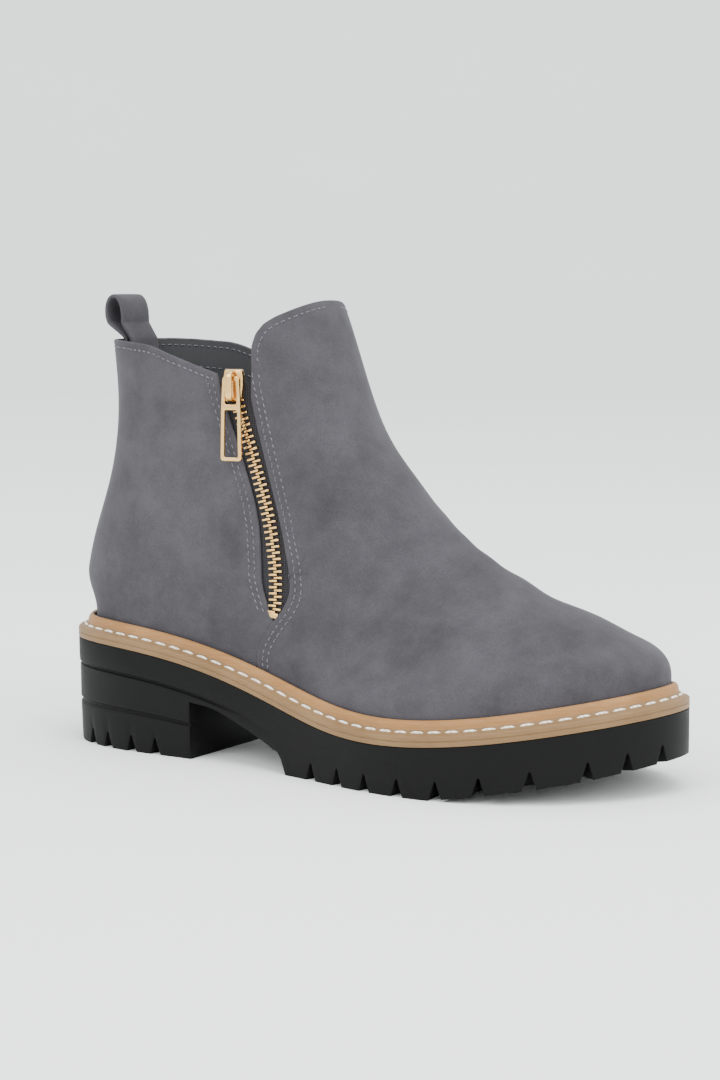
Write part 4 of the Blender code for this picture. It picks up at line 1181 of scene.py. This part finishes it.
# %% [markdown]
# Threads
#
# A machine stitch lies as a short grain of thread between two holes, its ends drawn into the
# leather. One stitch is modelled once, from a small sphere stretched in edit mode, and copied along
# each row. The rows follow the panels' edges: one row along collar and flap, and two beside each zip
# and down the seam. Stitches are 2.1 mm long, and the next one starts 0.8 mm on.

# %% One stitch
def stitch_points(thick):
    """Rings and faces of one stitch of unit length along x, lying in its own plane."""
    nothing_selected()
    bpy.ops.mesh.primitive_uv_sphere_add(segments=8, ring_count=7, radius=0.5)
    seed = bpy.context.active_object
    bpy.ops.object.mode_set(mode="EDIT")
    bpy.ops.mesh.select_all(action="SELECT")
    bpy.ops.transform.rotate(value=math.pi / 2, orient_axis="Y", center_override=(0, 0, 0))
    bpy.ops.object.mode_set(mode="OBJECT")
    points = np.array([vert.co for vert in seed.data.vertices])
    faces = [tuple(face.vertices) for face in seed.data.polygons]
    mesh = seed.data
    bpy.data.objects.remove(seed, do_unlink=True)
    bpy.data.meshes.remove(mesh)
    flat = np.abs(points[:, 0] * 2)
    points[:, 0] = np.sign(points[:, 0]) * 0.5 * np.sin(flat * math.pi / 2) ** 0.8
    points[:, 1:] *= thick
    return points, faces


def sew(name, rows, thick, finish, sink):
    """One piece of all the stitches whose two ends and outward normals are given."""
    seed_points, seed_faces = stitch_points(thick)
    built = bmesh.new()
    for start, end, normal in rows:
        along = end - start
        length = along.length
        along.normalize()
        aside = normal.cross(along).normalized()
        up = along.cross(aside)
        middle = (start + end) / 2 - up * sink
        verts = []
        for a, b, c in seed_points:
            # The ends of a stitch dive into their holes
            dive = thick * 0.7 * (2 * a) ** 4
            verts.append(built.verts.new(middle + along * a * length + aside * b + up * (c - dive)))
        for face in seed_faces:
            built.faces.new([verts[k] for k in face])
    bmesh.ops.recalc_face_normals(built, faces=built.faces)
    made = finish_piece(name, built, finish, 60)
    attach(made, BODY)
    report(made)
    return made


# %% [markdown]
# Rows on the panels
#
# A row is drawn from the side, as the pattern is, and then thrown onto the panel along y. So every
# stitch lies on the leather, whatever its curve.

# %% Rows thrown onto the panels
STITCH = 0.0021
STITCH_GAP = 0.0008
PANEL_THREAD_WIDTH = 0.00078
PANEL_THREAD_RISE = 0.00008
LINING_THREAD_WIDTH = 0.0007
THREAD_RISE = 0.00005


def on_panel(tree, x, z, side):
    place, normal, _, _ = tree.ray_cast(Vector((x, side * 0.2, z)), Vector((0, -side, 0)))
    if place is None:
        return None
    return place, (normal if normal.y * side > 0 else -normal)


def row_on_panel(tree, line, side):
    """Stitches along a side-view line of (x, z) points."""
    hits = [on_panel(tree, x, z, side) for x, z in line]
    return stitches_between([hit for hit in hits if hit is not None])


def stitches_between(hits):
    """Ends and normals of the stitches along a row of points with normals."""
    if len(hits) < 2:
        return []
    places = [hit[0] for hit in hits]
    run = [0.0]
    for a, b in zip(places[:-1], places[1:]):
        run.append(run[-1] + (b - a).length)
    count = int(run[-1] / (STITCH + STITCH_GAP))
    step = run[-1] / max(count, 1)

    def at(distance):
        k = int(np.clip(np.searchsorted(run, distance) - 1, 0, len(run) - 2))
        t = (distance - run[k]) / max(run[k + 1] - run[k], 1e-9)
        return places[k].lerp(places[k + 1], t), hits[k][1]

    result = []
    for index in range(count):
        start, normal = at(index * step + STITCH_GAP / 2)
        end, _ = at((index + 1) * step - STITCH_GAP / 2)
        result.append((start, end, normal))
    return result


def side_line(rows):
    """Side-view (x, z) points from (station, share) rows."""
    return [(s * SOLE_LENGTH, float(welt_line(s * SOLE_LENGTH)) + h * UPPER_HEIGHT) for s, h in rows]


def offset_line(rows, inset):
    """The (station, share) rows moved square to their line by inset metres, towards the right of
    its direction."""
    flat = np.array([(s * SOLE_LENGTH, h * UPPER_HEIGHT) for s, h in rows])
    step = np.gradient(flat, axis=0)
    step = step / np.hypot(step[:, 0], step[:, 1])[:, None]
    moved = flat + np.stack([step[:, 1], -step[:, 0]], axis=1) * inset
    return [(x / SOLE_LENGTH, h / UPPER_HEIGHT) for x, h in moved]


FIRST_ROW = EDGE_ROUND + ROW_INSET
grey_rows = []
zip_heights = np.linspace(0.775, 0.045, 90)
collar_stations = np.linspace(-0.02, 0.3165 - FIRST_ROW / SOLE_LENGTH, 60)
flap_knots = [(FLAP_REAR, 0.80)] + FLAP_TOP
flap_run = np.concatenate([[0], np.cumsum([math.dist(a, b) for a, b in zip(flap_knots, flap_knots[1:])])])
flap_fine = np.linspace(0, flap_run[-1], 60)
flap_rows = offset_line(list(zip(np.interp(flap_fine, flap_run, column(flap_knots, 0)),
                                 np.interp(flap_fine, flap_run, column(flap_knots, 1)))), FIRST_ROW)
for side in (-1, 1):
    for inset in (FIRST_ROW, FIRST_ROW + ROW_SPACING):
        beside = inset / SOLE_LENGTH
        grey_rows += row_on_panel(
            PANEL_TREE, side_line([(float(panel_rear(h)) + beside, h) for h in zip_heights]), side)
        grey_rows += row_on_panel(
            QUARTER_TREE, side_line([(float(quarter_front(h)) - beside, h)
                                     for h in zip_heights if FOOT_SHARE + 0.012 < h < 0.74]), side)
    collar_row = [(s, float(low_collar(s)) - FIRST_ROW / UPPER_HEIGHT) for s in collar_stations]
    grey_rows += row_on_panel(QUARTER_TREE, side_line(collar_row), side)
    grey_rows += row_on_panel(PANEL_TREE, side_line(flap_rows), side)
print("grey stitches", len(grey_rows))
sew("panel_stitches", grey_rows, PANEL_THREAD_WIDTH, GREY_THREAD, -PANEL_THREAD_RISE)

# %% [markdown]
# Inside the shaft the same rows show on the lining, and a second row holds the lower edge of the
# facing band. They are thrown from the middle of the boot onto the lining.

# %% Rows on the lining
def row_on_lining(tree, line, side):
    hits = []
    for x, z in line:
        place, normal, _, _ = tree.ray_cast(Vector((x, 0.0, z)), Vector((0, side, 0)))
        if place is not None:
            hits.append((place, normal if normal.y * side < 0 else -normal))
    return stitches_between(hits)


inner_rows = []
for side in (-1, 1):
    for drop in (FIRST_ROW, FACING_DEPTH - 0.0012):
        row = [(s, float(low_collar(s)) - drop / UPPER_HEIGHT) for s in collar_stations[6:]]
        inner_rows += row_on_lining(QUARTER_LINING_TREE, side_line(row), side)
    inner_rows += row_on_lining(PANEL_LINING_TREE, side_line(flap_rows), side)
sew("lining_stitches", inner_rows, LINING_THREAD_WIDTH, GREY_THREAD, -THREAD_RISE)

# %% [markdown]
# Welt stitches
#
# The welt is sewn with thick waxed thread, a stitch every 7.4 mm, so each shows as a pale grain about
# 6 mm long. The row runs round the middle of the shelf.

# %% Welt stitches
WELT_STITCH = 0.0062
WELT_STITCH_GAP = 0.0012
WELT_THREAD_WIDTH = 0.0011
WELT_ROW_INSET = 0.42
WELT_ROW_RISE = 0.555
row_plan = outline(WELT_ROW_INSET * WELT_DEPTH, 400)
row_base = welt_line(outline(0.0, 400)[:, 0]) + CLEARANCE
row_points = np.column_stack([row_plan, row_base + WELT_ROW_RISE * WELT_HEIGHT])
row_points = np.vstack([row_points, row_points[:1]])
row_run = np.concatenate([[0], np.cumsum(np.linalg.norm(np.diff(row_points, axis=0), axis=1))])
row_count = int(row_run[-1] / (WELT_STITCH + WELT_STITCH_GAP))
row_step = row_run[-1] / row_count
welt_rows = []
for index in range(row_count):
    ends = []
    for distance in (index * row_step + WELT_STITCH_GAP / 2, (index + 1) * row_step - WELT_STITCH_GAP / 2):
        ends.append(Vector([float(np.interp(distance, row_run, row_points[:, k])) for k in range(3)]))
    middle = (ends[0] + ends[1]) / 2
    _, outward = edge_distance(np.array([middle.x]), np.array([middle.y]))
    normal = Vector((float(outward[0, 0]) * 0.28, float(outward[0, 1]) * 0.28, 1.0)).normalized()
    welt_rows.append((ends[0], ends[1], normal))
sew("welt_stitches", welt_rows, WELT_THREAD_WIDTH, WELT_THREAD, -THREAD_RISE)
# %% [markdown]
# The zips
#
# Each zip is a cloth tape in two halves with metal teeth clamped on the halves' edges, a slider that
# closed them, and a pull tab. The tape and chain lie in the slot between quarter and front panel, a
# little below the leather. The zip's own frame is its middle line, thrown onto the last.

# %% The zip's path
LAST_TREE = BVHTree.FromBMesh(WHOLE_SHEET)
WHOLE_SHEET.free()
slot_rear = softened([(h, rear) for h, rear, _ in ZIP_OPENING])
slot_front = softened([(h, front) for h, _, front in ZIP_OPENING])
SLIDER_SHARE = 0.728
TAPE_FOOT_SHARE = 0.150
TAPE_TOP_SHARE = 0.735
CHAIN_FOOT_SHARE = 0.200
TAPE_DEPTH = 0.0019
TAPE_SIDE = 0.0045
TAPE_CLOTH = 0.0006
CORD_RISE = 0.0004
CORD_LANE = 0.12
TAPE_LANES = (-1.0, -0.7, -0.4, -CORD_LANE, -0.03, 0.03, CORD_LANE, 0.4, 0.7, 1.0)


def zip_spot(side, share, across=0.0):
    """Point and outward normal on the last beside the zip's middle line, across in metres."""
    station = (float(slot_rear(share)) + float(slot_front(share))) / 2
    x = station * SOLE_LENGTH
    z = float(welt_line(x)) + share * UPPER_HEIGHT
    return on_panel(LAST_TREE, x + across, z, side)


def zip_path(side, low, high, samples=240):
    spots = [zip_spot(side, share) for share in np.linspace(low, high, samples)]
    run = [0.0]
    for a, b in zip(spots[:-1], spots[1:]):
        run.append(run[-1] + (b[0] - a[0]).length)
    return spots, run


def along_path(spots, run, distance):
    """Place, outward normal, direction along and direction across at a distance up the path."""
    k = int(np.clip(np.searchsorted(run, distance) - 1, 0, len(run) - 2))
    t = (distance - run[k]) / (run[k + 1] - run[k])
    place = spots[k][0].lerp(spots[k + 1][0], t)
    reach = 6
    low, high = max(k - reach, 0), min(k + reach, len(spots) - 1)
    along = (spots[high][0] - spots[low][0]).normalized()
    normal = sum((spots[j][1] for j in range(low, high + 1)), Vector()).normalized()
    across = along.cross(normal).normalized()
    return place, normal, along, across


# %% Tape
def make_tape(name, side):
    heights = np.linspace(TAPE_FOOT_SHARE, TAPE_TOP_SHARE, 90)
    built = bmesh.new()
    grid = []
    for share in heights:
        half = (float(slot_front(share)) - float(slot_rear(share))) / 2 * SOLE_LENGTH + TAPE_SIDE
        row = []
        for lane in TAPE_LANES:
            place, normal = zip_spot(side, share, lane * half)
            # The woven cord on each half's edge stands a little proud
            cord = CORD_RISE if abs(lane) == CORD_LANE else 0.0
            row.append(built.verts.new(place - normal * (TAPE_DEPTH - cord)))
        grid.append(row)
    for low, high in zip(grid[:-1], grid[1:]):
        for j in range(len(low) - 1):
            built.faces.new((low[j], low[j + 1], high[j + 1], high[j]))
    built.normal_update()
    if sum(face.normal.y * side for face in built.faces) < 0:
        bmesh.ops.reverse_faces(built, faces=built.faces)
    tape = finish_piece(name, built, TAPE, 60)
    wall = tape.modifiers.new("cloth", "SOLIDIFY")
    wall.thickness = TAPE_CLOTH
    wall.offset = -1
    apply_all(tape)
    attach(tape, BODY)
    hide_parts(name.replace("tape_weave", "zip_tape"))
    report(tape)


make_tape("tape_weave_outer", -1)
make_tape("tape_weave_inner", 1)

# %% [markdown]
# One tooth
#
# A tooth is a small cast bar: broad legs that clamp the tape's cord, and a narrow head that hooks
# between two teeth of the other side. It starts as a cube, its head is pinched, and its edges are
# bevelled.

# %% One tooth
TOOTH_LONG = 0.0037
TOOTH_HIGH = 0.00092
TOOTH_DEEP = 0.0017
TOOTH_SINK = 0.0001
TOOTH_MESH = 0.0007
STOP_SIZE = (0.0046, 0.0018, 0.0022)
STOP_DROP = 0.0008
STOP_RISE = 0.0009


def tooth_points():
    nothing_selected()
    bpy.ops.mesh.primitive_cube_add(size=1)
    seed = bpy.context.active_object
    bpy.ops.object.mode_set(mode="EDIT")
    bpy.ops.mesh.select_all(action="SELECT")
    bpy.ops.transform.resize(value=(TOOTH_LONG, TOOTH_DEEP, TOOTH_HIGH))
    shape = bmesh.from_edit_mesh(seed.data)
    for face in shape.faces:
        face.select = face.normal.x > 0.5
    bmesh.update_edit_mesh(seed.data)
    bpy.ops.transform.resize(value=(1, 0.70, 0.62), center_override=(TOOTH_LONG / 2, -TOOTH_DEEP * 0.1, 0))
    bpy.ops.mesh.select_all(action="SELECT")
    bpy.ops.mesh.bevel(offset=0.00025, segments=2, affect="EDGES")
    bpy.ops.object.mode_set(mode="OBJECT")
    points = [vert.co.copy() for vert in seed.data.vertices]
    faces = [tuple(face.vertices) for face in seed.data.polygons]
    mesh = seed.data
    bpy.data.objects.remove(seed, do_unlink=True)
    bpy.data.meshes.remove(mesh)
    return points, faces


def make_chain(name, side):
    points, faces = tooth_points()
    top = SLIDER_SHARE - 0.35 * SLIDER_LENGTH / UPPER_HEIGHT
    spots, run = zip_path(side, CHAIN_FOOT_SHARE, top)
    built = bmesh.new()
    count = int(run[-1] / (TOOTH_PITCH / 2))
    for index in range(count):
        place, normal, along, across = along_path(spots, run, (index + 0.5) * TOOTH_PITCH / 2)
        hand = 1 if index % 2 == 0 else -1
        centre = place - normal * (TAPE_DEPTH - TOOTH_DEEP * 0.5 - TOOTH_SINK)
        centre = centre - across * hand * (TOOTH_LONG / 2 - TOOTH_MESH)
        verts = [built.verts.new(centre + across * hand * p.x + normal * p.y + along * p.z) for p in points]
        for face in faces:
            built.faces.new([verts[k] for k in face])
    # The bottom stop holds both halves together
    place, normal, along, across = along_path(spots, run, 0.0)
    wide, deep, high = STOP_SIZE
    spot = place - along * STOP_DROP - normal * (TAPE_DEPTH - STOP_RISE)
    verts = []
    for p in points:
        stop = Vector((p.x / TOOTH_LONG * wide, p.y / TOOTH_DEEP * deep, p.z / TOOTH_HIGH * high))
        verts.append(built.verts.new(spot + across * stop.x + normal * stop.y + along * stop.z))
    for face in faces:
        built.faces.new([verts[k] for k in face])
    bmesh.ops.recalc_face_normals(built, faces=built.faces)
    chain = finish_piece(name, built, GILT, 45)
    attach(chain, BODY)
    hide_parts(name.replace("chain", "zip_teeth"))
    report(chain)


make_chain("chain_outer", -1)
make_chain("chain_inner", 1)

# %% [markdown]
# Slider and pull tab
#
# The slider's body is a shell that is broad where the two halves part and narrower where they are
# closed. An arched bridge on it holds the pull tab's pin. Both are placed by the joint's own hinge,
# which the record gives, so the tab turns about its pin. The tab is a stamped and polished frame,
# drawn as a flat curve with two holes and given thickness and a rounded edge.

# %% The slider's own frame
HINGES = {joint["name"]: joint for joint in frame["joints"]}
SLIDER_BASE = -0.0016
SLIDER_TOP = SLIDER_BASE + SLIDER_THICKNESS
HINGE_RISE = SLIDER_TOP + (BRIDGE_RISE - BRIDGE_BAR) / 2
HINGE_UP = SLIDER_LENGTH * 0.20
UP = Vector((0, 0, 1))


def slider_frame(joint_name):
    """Place of a slider, its sideways direction and its outward direction, from its tab's hinge."""
    joint = HINGES[joint_name]
    sideways = Vector(joint["axis"]).normalized()
    outward = UP.cross(sideways)
    place = Vector(joint["pos_m"]) - ROW_STEP - outward * HINGE_RISE - UP * HINGE_UP
    return place, sideways, outward


def set_in_frame(piece, place_frame):
    """Turns a mesh drawn with x sideways, y outward and z up into a slider's frame."""
    place, sideways, outward = place_frame
    turn = Matrix((sideways, outward, UP)).transposed().to_4x4()
    piece.data.transform(Matrix.Translation(place + ROW_STEP) @ turn)
    piece.data.update()


# %% Slider body and bridge
def bevel_piece(piece, width, segments, degrees=30):
    step = piece.modifiers.new("polished_edge", "BEVEL")
    step.width = width
    step.segments = segments
    step.limit_method = "ANGLE"
    step.angle_limit = math.radians(degrees)
    apply_all(piece)


def slider_body(name):
    nothing_selected()
    middle = SLIDER_TOP - SLIDER_THICKNESS / 2
    bpy.ops.mesh.primitive_cube_add(size=1, location=(0, 0, 0))
    body = bpy.context.active_object
    body.name = name
    bpy.ops.object.mode_set(mode="EDIT")
    bpy.ops.mesh.select_all(action="SELECT")
    bpy.ops.transform.resize(value=(SLIDER_WIDTH, SLIDER_THICKNESS, SLIDER_LENGTH))
    bpy.ops.transform.translate(value=(0, middle, 0))
    bpy.ops.mesh.subdivide(number_cuts=3)
    bpy.ops.object.mode_set(mode="OBJECT")
    for vert in body.data.vertices:
        up = vert.co.z / SLIDER_LENGTH
        outer = vert.co.y > middle
        # The shell narrows to its foot, swells at the shoulders and is domed on its face
        vert.co.x *= 0.80 + 0.20 * min(max(up * 2 + 0.9, 0), 1)
        vert.co.x *= 1.0 if up < 0.45 else 0.86
        if outer:
            vert.co.y += 0.0005 * (1 - (2 * vert.co.x / SLIDER_WIDTH) ** 2) * (1 - (2 * up) ** 2)
    return body


def arched_bridge():
    """Bar over the slider's face, from its top to its foot."""
    built = bmesh.new()
    rows = []
    span = (SLIDER_LENGTH - BRIDGE_SHORTER) / 2
    rise = BRIDGE_RISE
    line = []
    for k in range(13):
        angle = math.pi * k / 12
        high = rise * min(1.0, 1.25 * math.sin(angle) ** 0.6) if 0 < k < 12 else 0.0
        line.append((span * math.cos(angle), SLIDER_TOP - JOIN + high))
    for k, (up, out) in enumerate(line):
        before, after = line[max(k - 1, 0)], line[min(k + 1, 12)]
        step = Vector((after[0] - before[0], after[1] - before[1])).normalized()
        inner = Vector((up, out)) - Vector((-step.y, step.x)) * -BRIDGE_BAR / 2
        outer = Vector((up, out)) + Vector((-step.y, step.x)) * -BRIDGE_BAR / 2
        low, high = (inner, outer) if inner.y < outer.y else (outer, inner)
        half = BRIDGE_WIDTH / 2 * (0.8 + 0.2 * math.sin(math.pi * k / 12))
        rows.append([built.verts.new((-half, low.y, low.x)), built.verts.new((half, low.y, low.x)),
                     built.verts.new((half, high.y, high.x)), built.verts.new((-half, high.y, high.x))])
    for first, second in zip(rows[:-1], rows[1:]):
        for j in range(4):
            after = (j + 1) % 4
            built.faces.new((first[j], first[after], second[after], second[j]))
    built.faces.new(rows[0])
    built.faces.new(rows[-1])
    bmesh.ops.recalc_face_normals(built, faces=built.faces)
    mesh = bpy.data.meshes.new("slider_bridge")
    built.to_mesh(mesh)
    built.free()
    bridge = bpy.data.objects.new("slider_bridge", mesh)
    bpy.context.scene.collection.objects.link(bridge)
    return bridge


def joined(pieces):
    nothing_selected()
    for piece in pieces:
        piece.select_set(True)
    bpy.context.view_layer.objects.active = pieces[0]
    bpy.ops.object.join()
    return bpy.context.view_layer.objects.active


def make_slider(name, joint_name, node):
    body = slider_body(name)
    bevel_piece(body, 0.0009, 3, 40)
    bridge = arched_bridge()
    bevel_piece(bridge, 0.0004, 2, 50)
    slider = joined([body, bridge])
    slider.data.materials.clear()
    slider.data.materials.append(GILT)
    set_in_frame(slider, slider_frame(joint_name))
    smooth(slider, 50)
    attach(slider, BODY)
    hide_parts(node)
    report(slider)


make_slider("slider_outer", "outer_pull_swing", "zip_slider_outer")
make_slider("slider_inner", "inner_pull_swing", "zip_slider_inner")


# %% Pull tab
def rounded_frame(corners, radius, steps=5):
    """Closed line through corners, each turned with a small round."""
    line = []
    count = len(corners)
    for k in range(count):
        spot = Vector(corners[k])
        to_before = (Vector(corners[k - 1]) - spot)
        to_after = (Vector(corners[(k + 1) % count]) - spot)
        cut = min(radius, to_before.length / 2, to_after.length / 2)
        start = spot + to_before.normalized() * cut
        end = spot + to_after.normalized() * cut
        for j in range(steps + 1):
            t = j / steps
            line.append(start * (1 - t) ** 2 + spot * 2 * t * (1 - t) + end * t ** 2)
    return line


def stamped_plate(name, outlines, thickness, rounding):
    """A flat curve with holes, given thickness and a rounded edge, as a mesh in the x-z plane."""
    drawn = bpy.data.curves.new(name, "CURVE")
    drawn.dimensions = "2D"
    drawn.fill_mode = "BOTH"
    drawn.extrude = thickness / 2 - rounding
    drawn.bevel_depth = rounding
    drawn.bevel_resolution = 2
    drawn.offset = -rounding
    for line in outlines:
        part = drawn.splines.new("POLY")
        part.points.add(len(line) - 1)
        for point, spot in zip(part.points, line):
            point.co = (spot.x, spot.y, 0, 1)
        part.use_cyclic_u = True
    plate = bpy.data.objects.new(name, drawn)
    bpy.context.scene.collection.objects.link(plate)
    pick(plate)
    bpy.ops.object.convert(target="MESH")
    plate = bpy.context.active_object
    plate.data.transform(Matrix.Rotation(math.pi / 2, 4, "X"))
    return plate


TAB_END = 0.0004
TAB_FRAME = 0.0016
TAB_ROUND = 0.00035
CORNER_ROUND = 0.0016
EYE_ROUND = 0.0009
WINDOW_ROUND = 0.0007


def make_pull(name, joint_name, node, body_name):
    top = HINGE_UP + PIN_SIZE / 2 + TAB_END
    bottom = HINGE_UP - TAB_LENGTH + PIN_SIZE - TAB_BAR / 2
    cross_up = -(SLIDER_LENGTH / 2 + CROSSBAR_DROP)
    half = TAB_WIDTH / 2
    bar = TAB_FRAME
    outer = rounded_frame([(-half * 0.78, top), (half * 0.78, top), (half * 0.92, cross_up),
                           (half, bottom), (-half, bottom), (-half * 0.92, cross_up)], CORNER_ROUND)
    eye_top, eye_bottom = HINGE_UP - PIN_SIZE / 2, cross_up + CROSSBAR_LENGTH / 2
    eye = rounded_frame([(-half * 0.78 + bar, eye_top), (half * 0.78 - bar, eye_top),
                         (half * 0.90 - bar, eye_bottom), (-half * 0.90 + bar, eye_bottom)], EYE_ROUND)
    window_top, window_bottom = cross_up - CROSSBAR_LENGTH / 2, bottom + bar
    window = rounded_frame([(-half * 0.93 + bar, window_top), (half * 0.93 - bar, window_top),
                            (half - bar, window_bottom), (-half + bar, window_bottom)], WINDOW_ROUND)
    tab = stamped_plate(name, [outer, eye, window], TAB_THICKNESS, TAB_ROUND)
    tab.data.transform(Matrix.Translation((0, HINGE_RISE, 0)))
    tab.data.materials.clear()
    tab.data.materials.append(GILT)
    set_in_frame(tab, slider_frame(joint_name))
    pick(tab)
    bpy.ops.object.mode_set(mode="EDIT")
    bpy.ops.mesh.select_all(action="SELECT")
    bpy.ops.mesh.remove_doubles(threshold=0.000005)
    bpy.ops.mesh.normals_make_consistent(inside=False)
    bpy.ops.object.mode_set(mode="OBJECT")
    smooth(tab, 35)
    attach(tab, body_name)
    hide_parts(node)
    report(tab)


make_pull("pull_tab_outer", "outer_pull_swing", "zip_pull_outer", "pull_outer")
make_pull("pull_tab_inner", "inner_pull_swing", "zip_pull_inner", "pull_inner")
# %% [markdown]
# The pull loop
#
# A band of nubuck 20 mm wide is folded over and sewn inside the collar at the back. Its middle line
# is a table seen from the side, and a flat section with round edges is carried along it. Inside the
# collar the band is bowed to the shaft's curve.

# %% Pull loop
LOOP_SAMPLES = 150
COLLAR_SHARE = 0.774
collar_height = COLLAR_SHARE * UPPER_HEIGHT
shaft_rows = section_values(np.linspace(0, 6, 400))
shaft_heights = shaft_rows[2] * UPPER_HEIGHT
shaft_order = np.argsort(shaft_heights)
loop_knots = np.linspace(0, 1, len(LOOP_PATH))
loop_fine = np.linspace(0, 1, LOOP_SAMPLES)
loop_forward = spline(loop_knots, column(LOOP_PATH, 0), loop_fine) * LOOP_RISE
loop_up = spline(loop_knots, column(LOOP_PATH, 1), loop_fine) * LOOP_RISE
loop_line = []
loop_sunk = []
for forward, up in zip(loop_forward, loop_up):
    h = collar_height + up
    wall = float(np.interp(min(h, collar_height), shaft_heights[shaft_order],
                           (shaft_rows[0] * SOLE_LENGTH)[shaft_order]))
    sunk = min(max(1 - up / (0.35 * LOOP_RISE), 0), 1)
    loop_line.append(Vector((wall + forward + sunk * (UPPER_WALL + CLEARANCE), 0,
                             float(welt_line(wall)) + h)))
    loop_sunk.append(sunk)

half_wide, half_thick = LOOP_WIDTH / 2, LOOP_THICKNESS / 2
band = []
for edge_side in (1, -1):
    for y in np.linspace(-1, 1, 9):
        band.append((edge_side * y * (half_wide - half_thick), edge_side * half_thick))
    for angle in (60, 30, 0, -30, -60):
        turn = math.radians(angle)
        band.append((edge_side * (half_wide - half_thick + half_thick * math.cos(turn)),
                     edge_side * half_thick * math.sin(turn)))
loop_mesh = bmesh.new()
loop_rings = []
for k, spot in enumerate(loop_line):
    ahead = loop_line[min(k + 1, LOOP_SAMPLES - 1)] - loop_line[max(k - 1, 0)]
    ahead.normalize()
    normal = Vector((-ahead.z, 0, ahead.x))
    ring = []
    for across, deep in band:
        # Leather folded over swells a little in its middle
        swell = 1.0 - 0.12 * abs(across / half_wide) ** 2
        bow = loop_sunk[k] * LOOP_BOW * across * across
        ring.append(spot + Vector((bow, across, 0)) + normal * deep * swell)
    loop_rings.append(np.array(ring))
loop_ends = ring_faces(loop_mesh, loop_rings, closed=False)
loop_mesh.faces.new(loop_ends[0])
loop_mesh.faces.new(loop_ends[-1])
bmesh.ops.recalc_face_normals(loop_mesh, faces=loop_mesh.faces)
pull_loop = finish_piece("pull_loop_band", loop_mesh, NUBUCK, 50)
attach(pull_loop, BODY)
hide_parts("pull_loop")
report(pull_loop)
# %% [markdown]
# Floor, light and camera
#
# The boot stands on a roll of pale paper that is bent up behind it, so that no edge shows. The light
# is that of a small studio: wide soft lamps on the left, on the right and overhead, and an even pale
# surround. Wide lamps make the soft, short shadow beside the sole.

# %% Floor
FLOOR_TURN = 30.5


def plain_floor():
    made, tree, shader = new_finish("matt_paper_floor", 0.9)
    place = add_node(tree, "ShaderNodeTexCoord").outputs["Object"]
    mottle = noise(tree, place, 0.4, 2.0, 0.5)
    tree.links.new(between_colours(tree, mottle.outputs["Fac"], "#F4F6F5", "#F7F9F8", 0.3, 0.7),
                   shader.inputs["Base Color"])
    shader.inputs["Specular IOR Level"].default_value = 0.1
    return made


nothing_selected()
bpy.ops.mesh.primitive_plane_add(size=1, location=(0, 0, 0))
floor = bpy.context.active_object
floor.name = "studio_floor"
FLOOR_HALF = 6.0
FLOOR_BACK = 4.0
SWEEP = 2.5
bpy.ops.object.mode_set(mode="EDIT")
bpy.ops.mesh.select_all(action="SELECT")
bpy.ops.transform.resize(value=(2 * FLOOR_HALF, 2 * FLOOR_BACK, 1))
bpy.ops.mesh.select_all(action="DESELECT")
sheet = bmesh.from_edit_mesh(floor.data)
for edge in sheet.edges:
    edge.select = all(vert.co.y > 0 for vert in edge.verts)
bmesh.update_edit_mesh(floor.data)
# The paper is bent up behind the boot in a quarter circle, in short straight steps
for step in range(16):
    start, end = [math.pi / 2 * k / 16 for k in (step, step + 1)]
    bpy.ops.mesh.extrude_region_move(TRANSFORM_OT_translate={"value": (
        0, SWEEP * (math.sin(end) - math.sin(start)), SWEEP * (math.cos(start) - math.cos(end)))})
bpy.ops.mesh.extrude_region_move(TRANSFORM_OT_translate={"value": (0, 0, 3.0)})
bpy.ops.object.mode_set(mode="OBJECT")
floor.data.transform(Matrix.Rotation(math.radians(FLOOR_TURN), 4, "Z"))
floor.data.materials.append(plain_floor())
smooth(floor, 60)

# %% Lamps and surround
BOOT_CENTRE = Vector((0.0, 0.0, 0.092))


def soft_lamp(name, place, width, height, power):
    lamp = bpy.data.lights.new(name, "AREA")
    lamp.shape = "RECTANGLE"
    lamp.size = width
    lamp.size_y = height
    lamp.energy = power
    made = bpy.data.objects.new(name, lamp)
    bpy.context.scene.collection.objects.link(made)
    made.location = place
    made.rotation_euler = (BOOT_CENTRE - Vector(place)).to_track_quat("-Z", "Y").to_euler()
    return made


soft_lamp("key_softbox", (-0.4, -1.8, 1.5), 1.2, 1.2, 22)
soft_lamp("fill_softbox", (1.9, -0.7, 1.3), 1.2, 1.2, 20)
soft_lamp("top_softbox", (0.6, -0.2, 2.2), 1.6, 1.6, 34)

surround = bpy.data.worlds.new("pale_surround")
surround.use_nodes = True
surround.node_tree.nodes["Background"].inputs["Color"].default_value = linear("#E4E6E6")
surround.node_tree.nodes["Background"].inputs["Strength"].default_value = 2.35
bpy.context.scene.world = surround

# %% [markdown]
# The camera stands about 30 degrees round from the boot's side and 7 degrees above it, nearly a
# metre away, as for a shop's picture. A lens of 79 mm lets the boot fill the frame.

# %% Camera
CAMERA_PLACE = Vector((0.5032, -0.8512, 0.1984))
CAMERA_AIM = Vector((0.0, 0.0, 0.094))
camera_lens = bpy.data.cameras.new("boot_camera")
camera_lens.sensor_fit = "VERTICAL"
camera_lens.sensor_height = 36
camera_lens.lens = 79
camera = bpy.data.objects.new("boot_camera", camera_lens)
bpy.context.scene.collection.objects.link(camera)
camera.location = CAMERA_PLACE
camera.rotation_euler = (CAMERA_AIM - CAMERA_PLACE).to_track_quat("-Z", "Y").to_euler()
bpy.context.scene.camera = camera
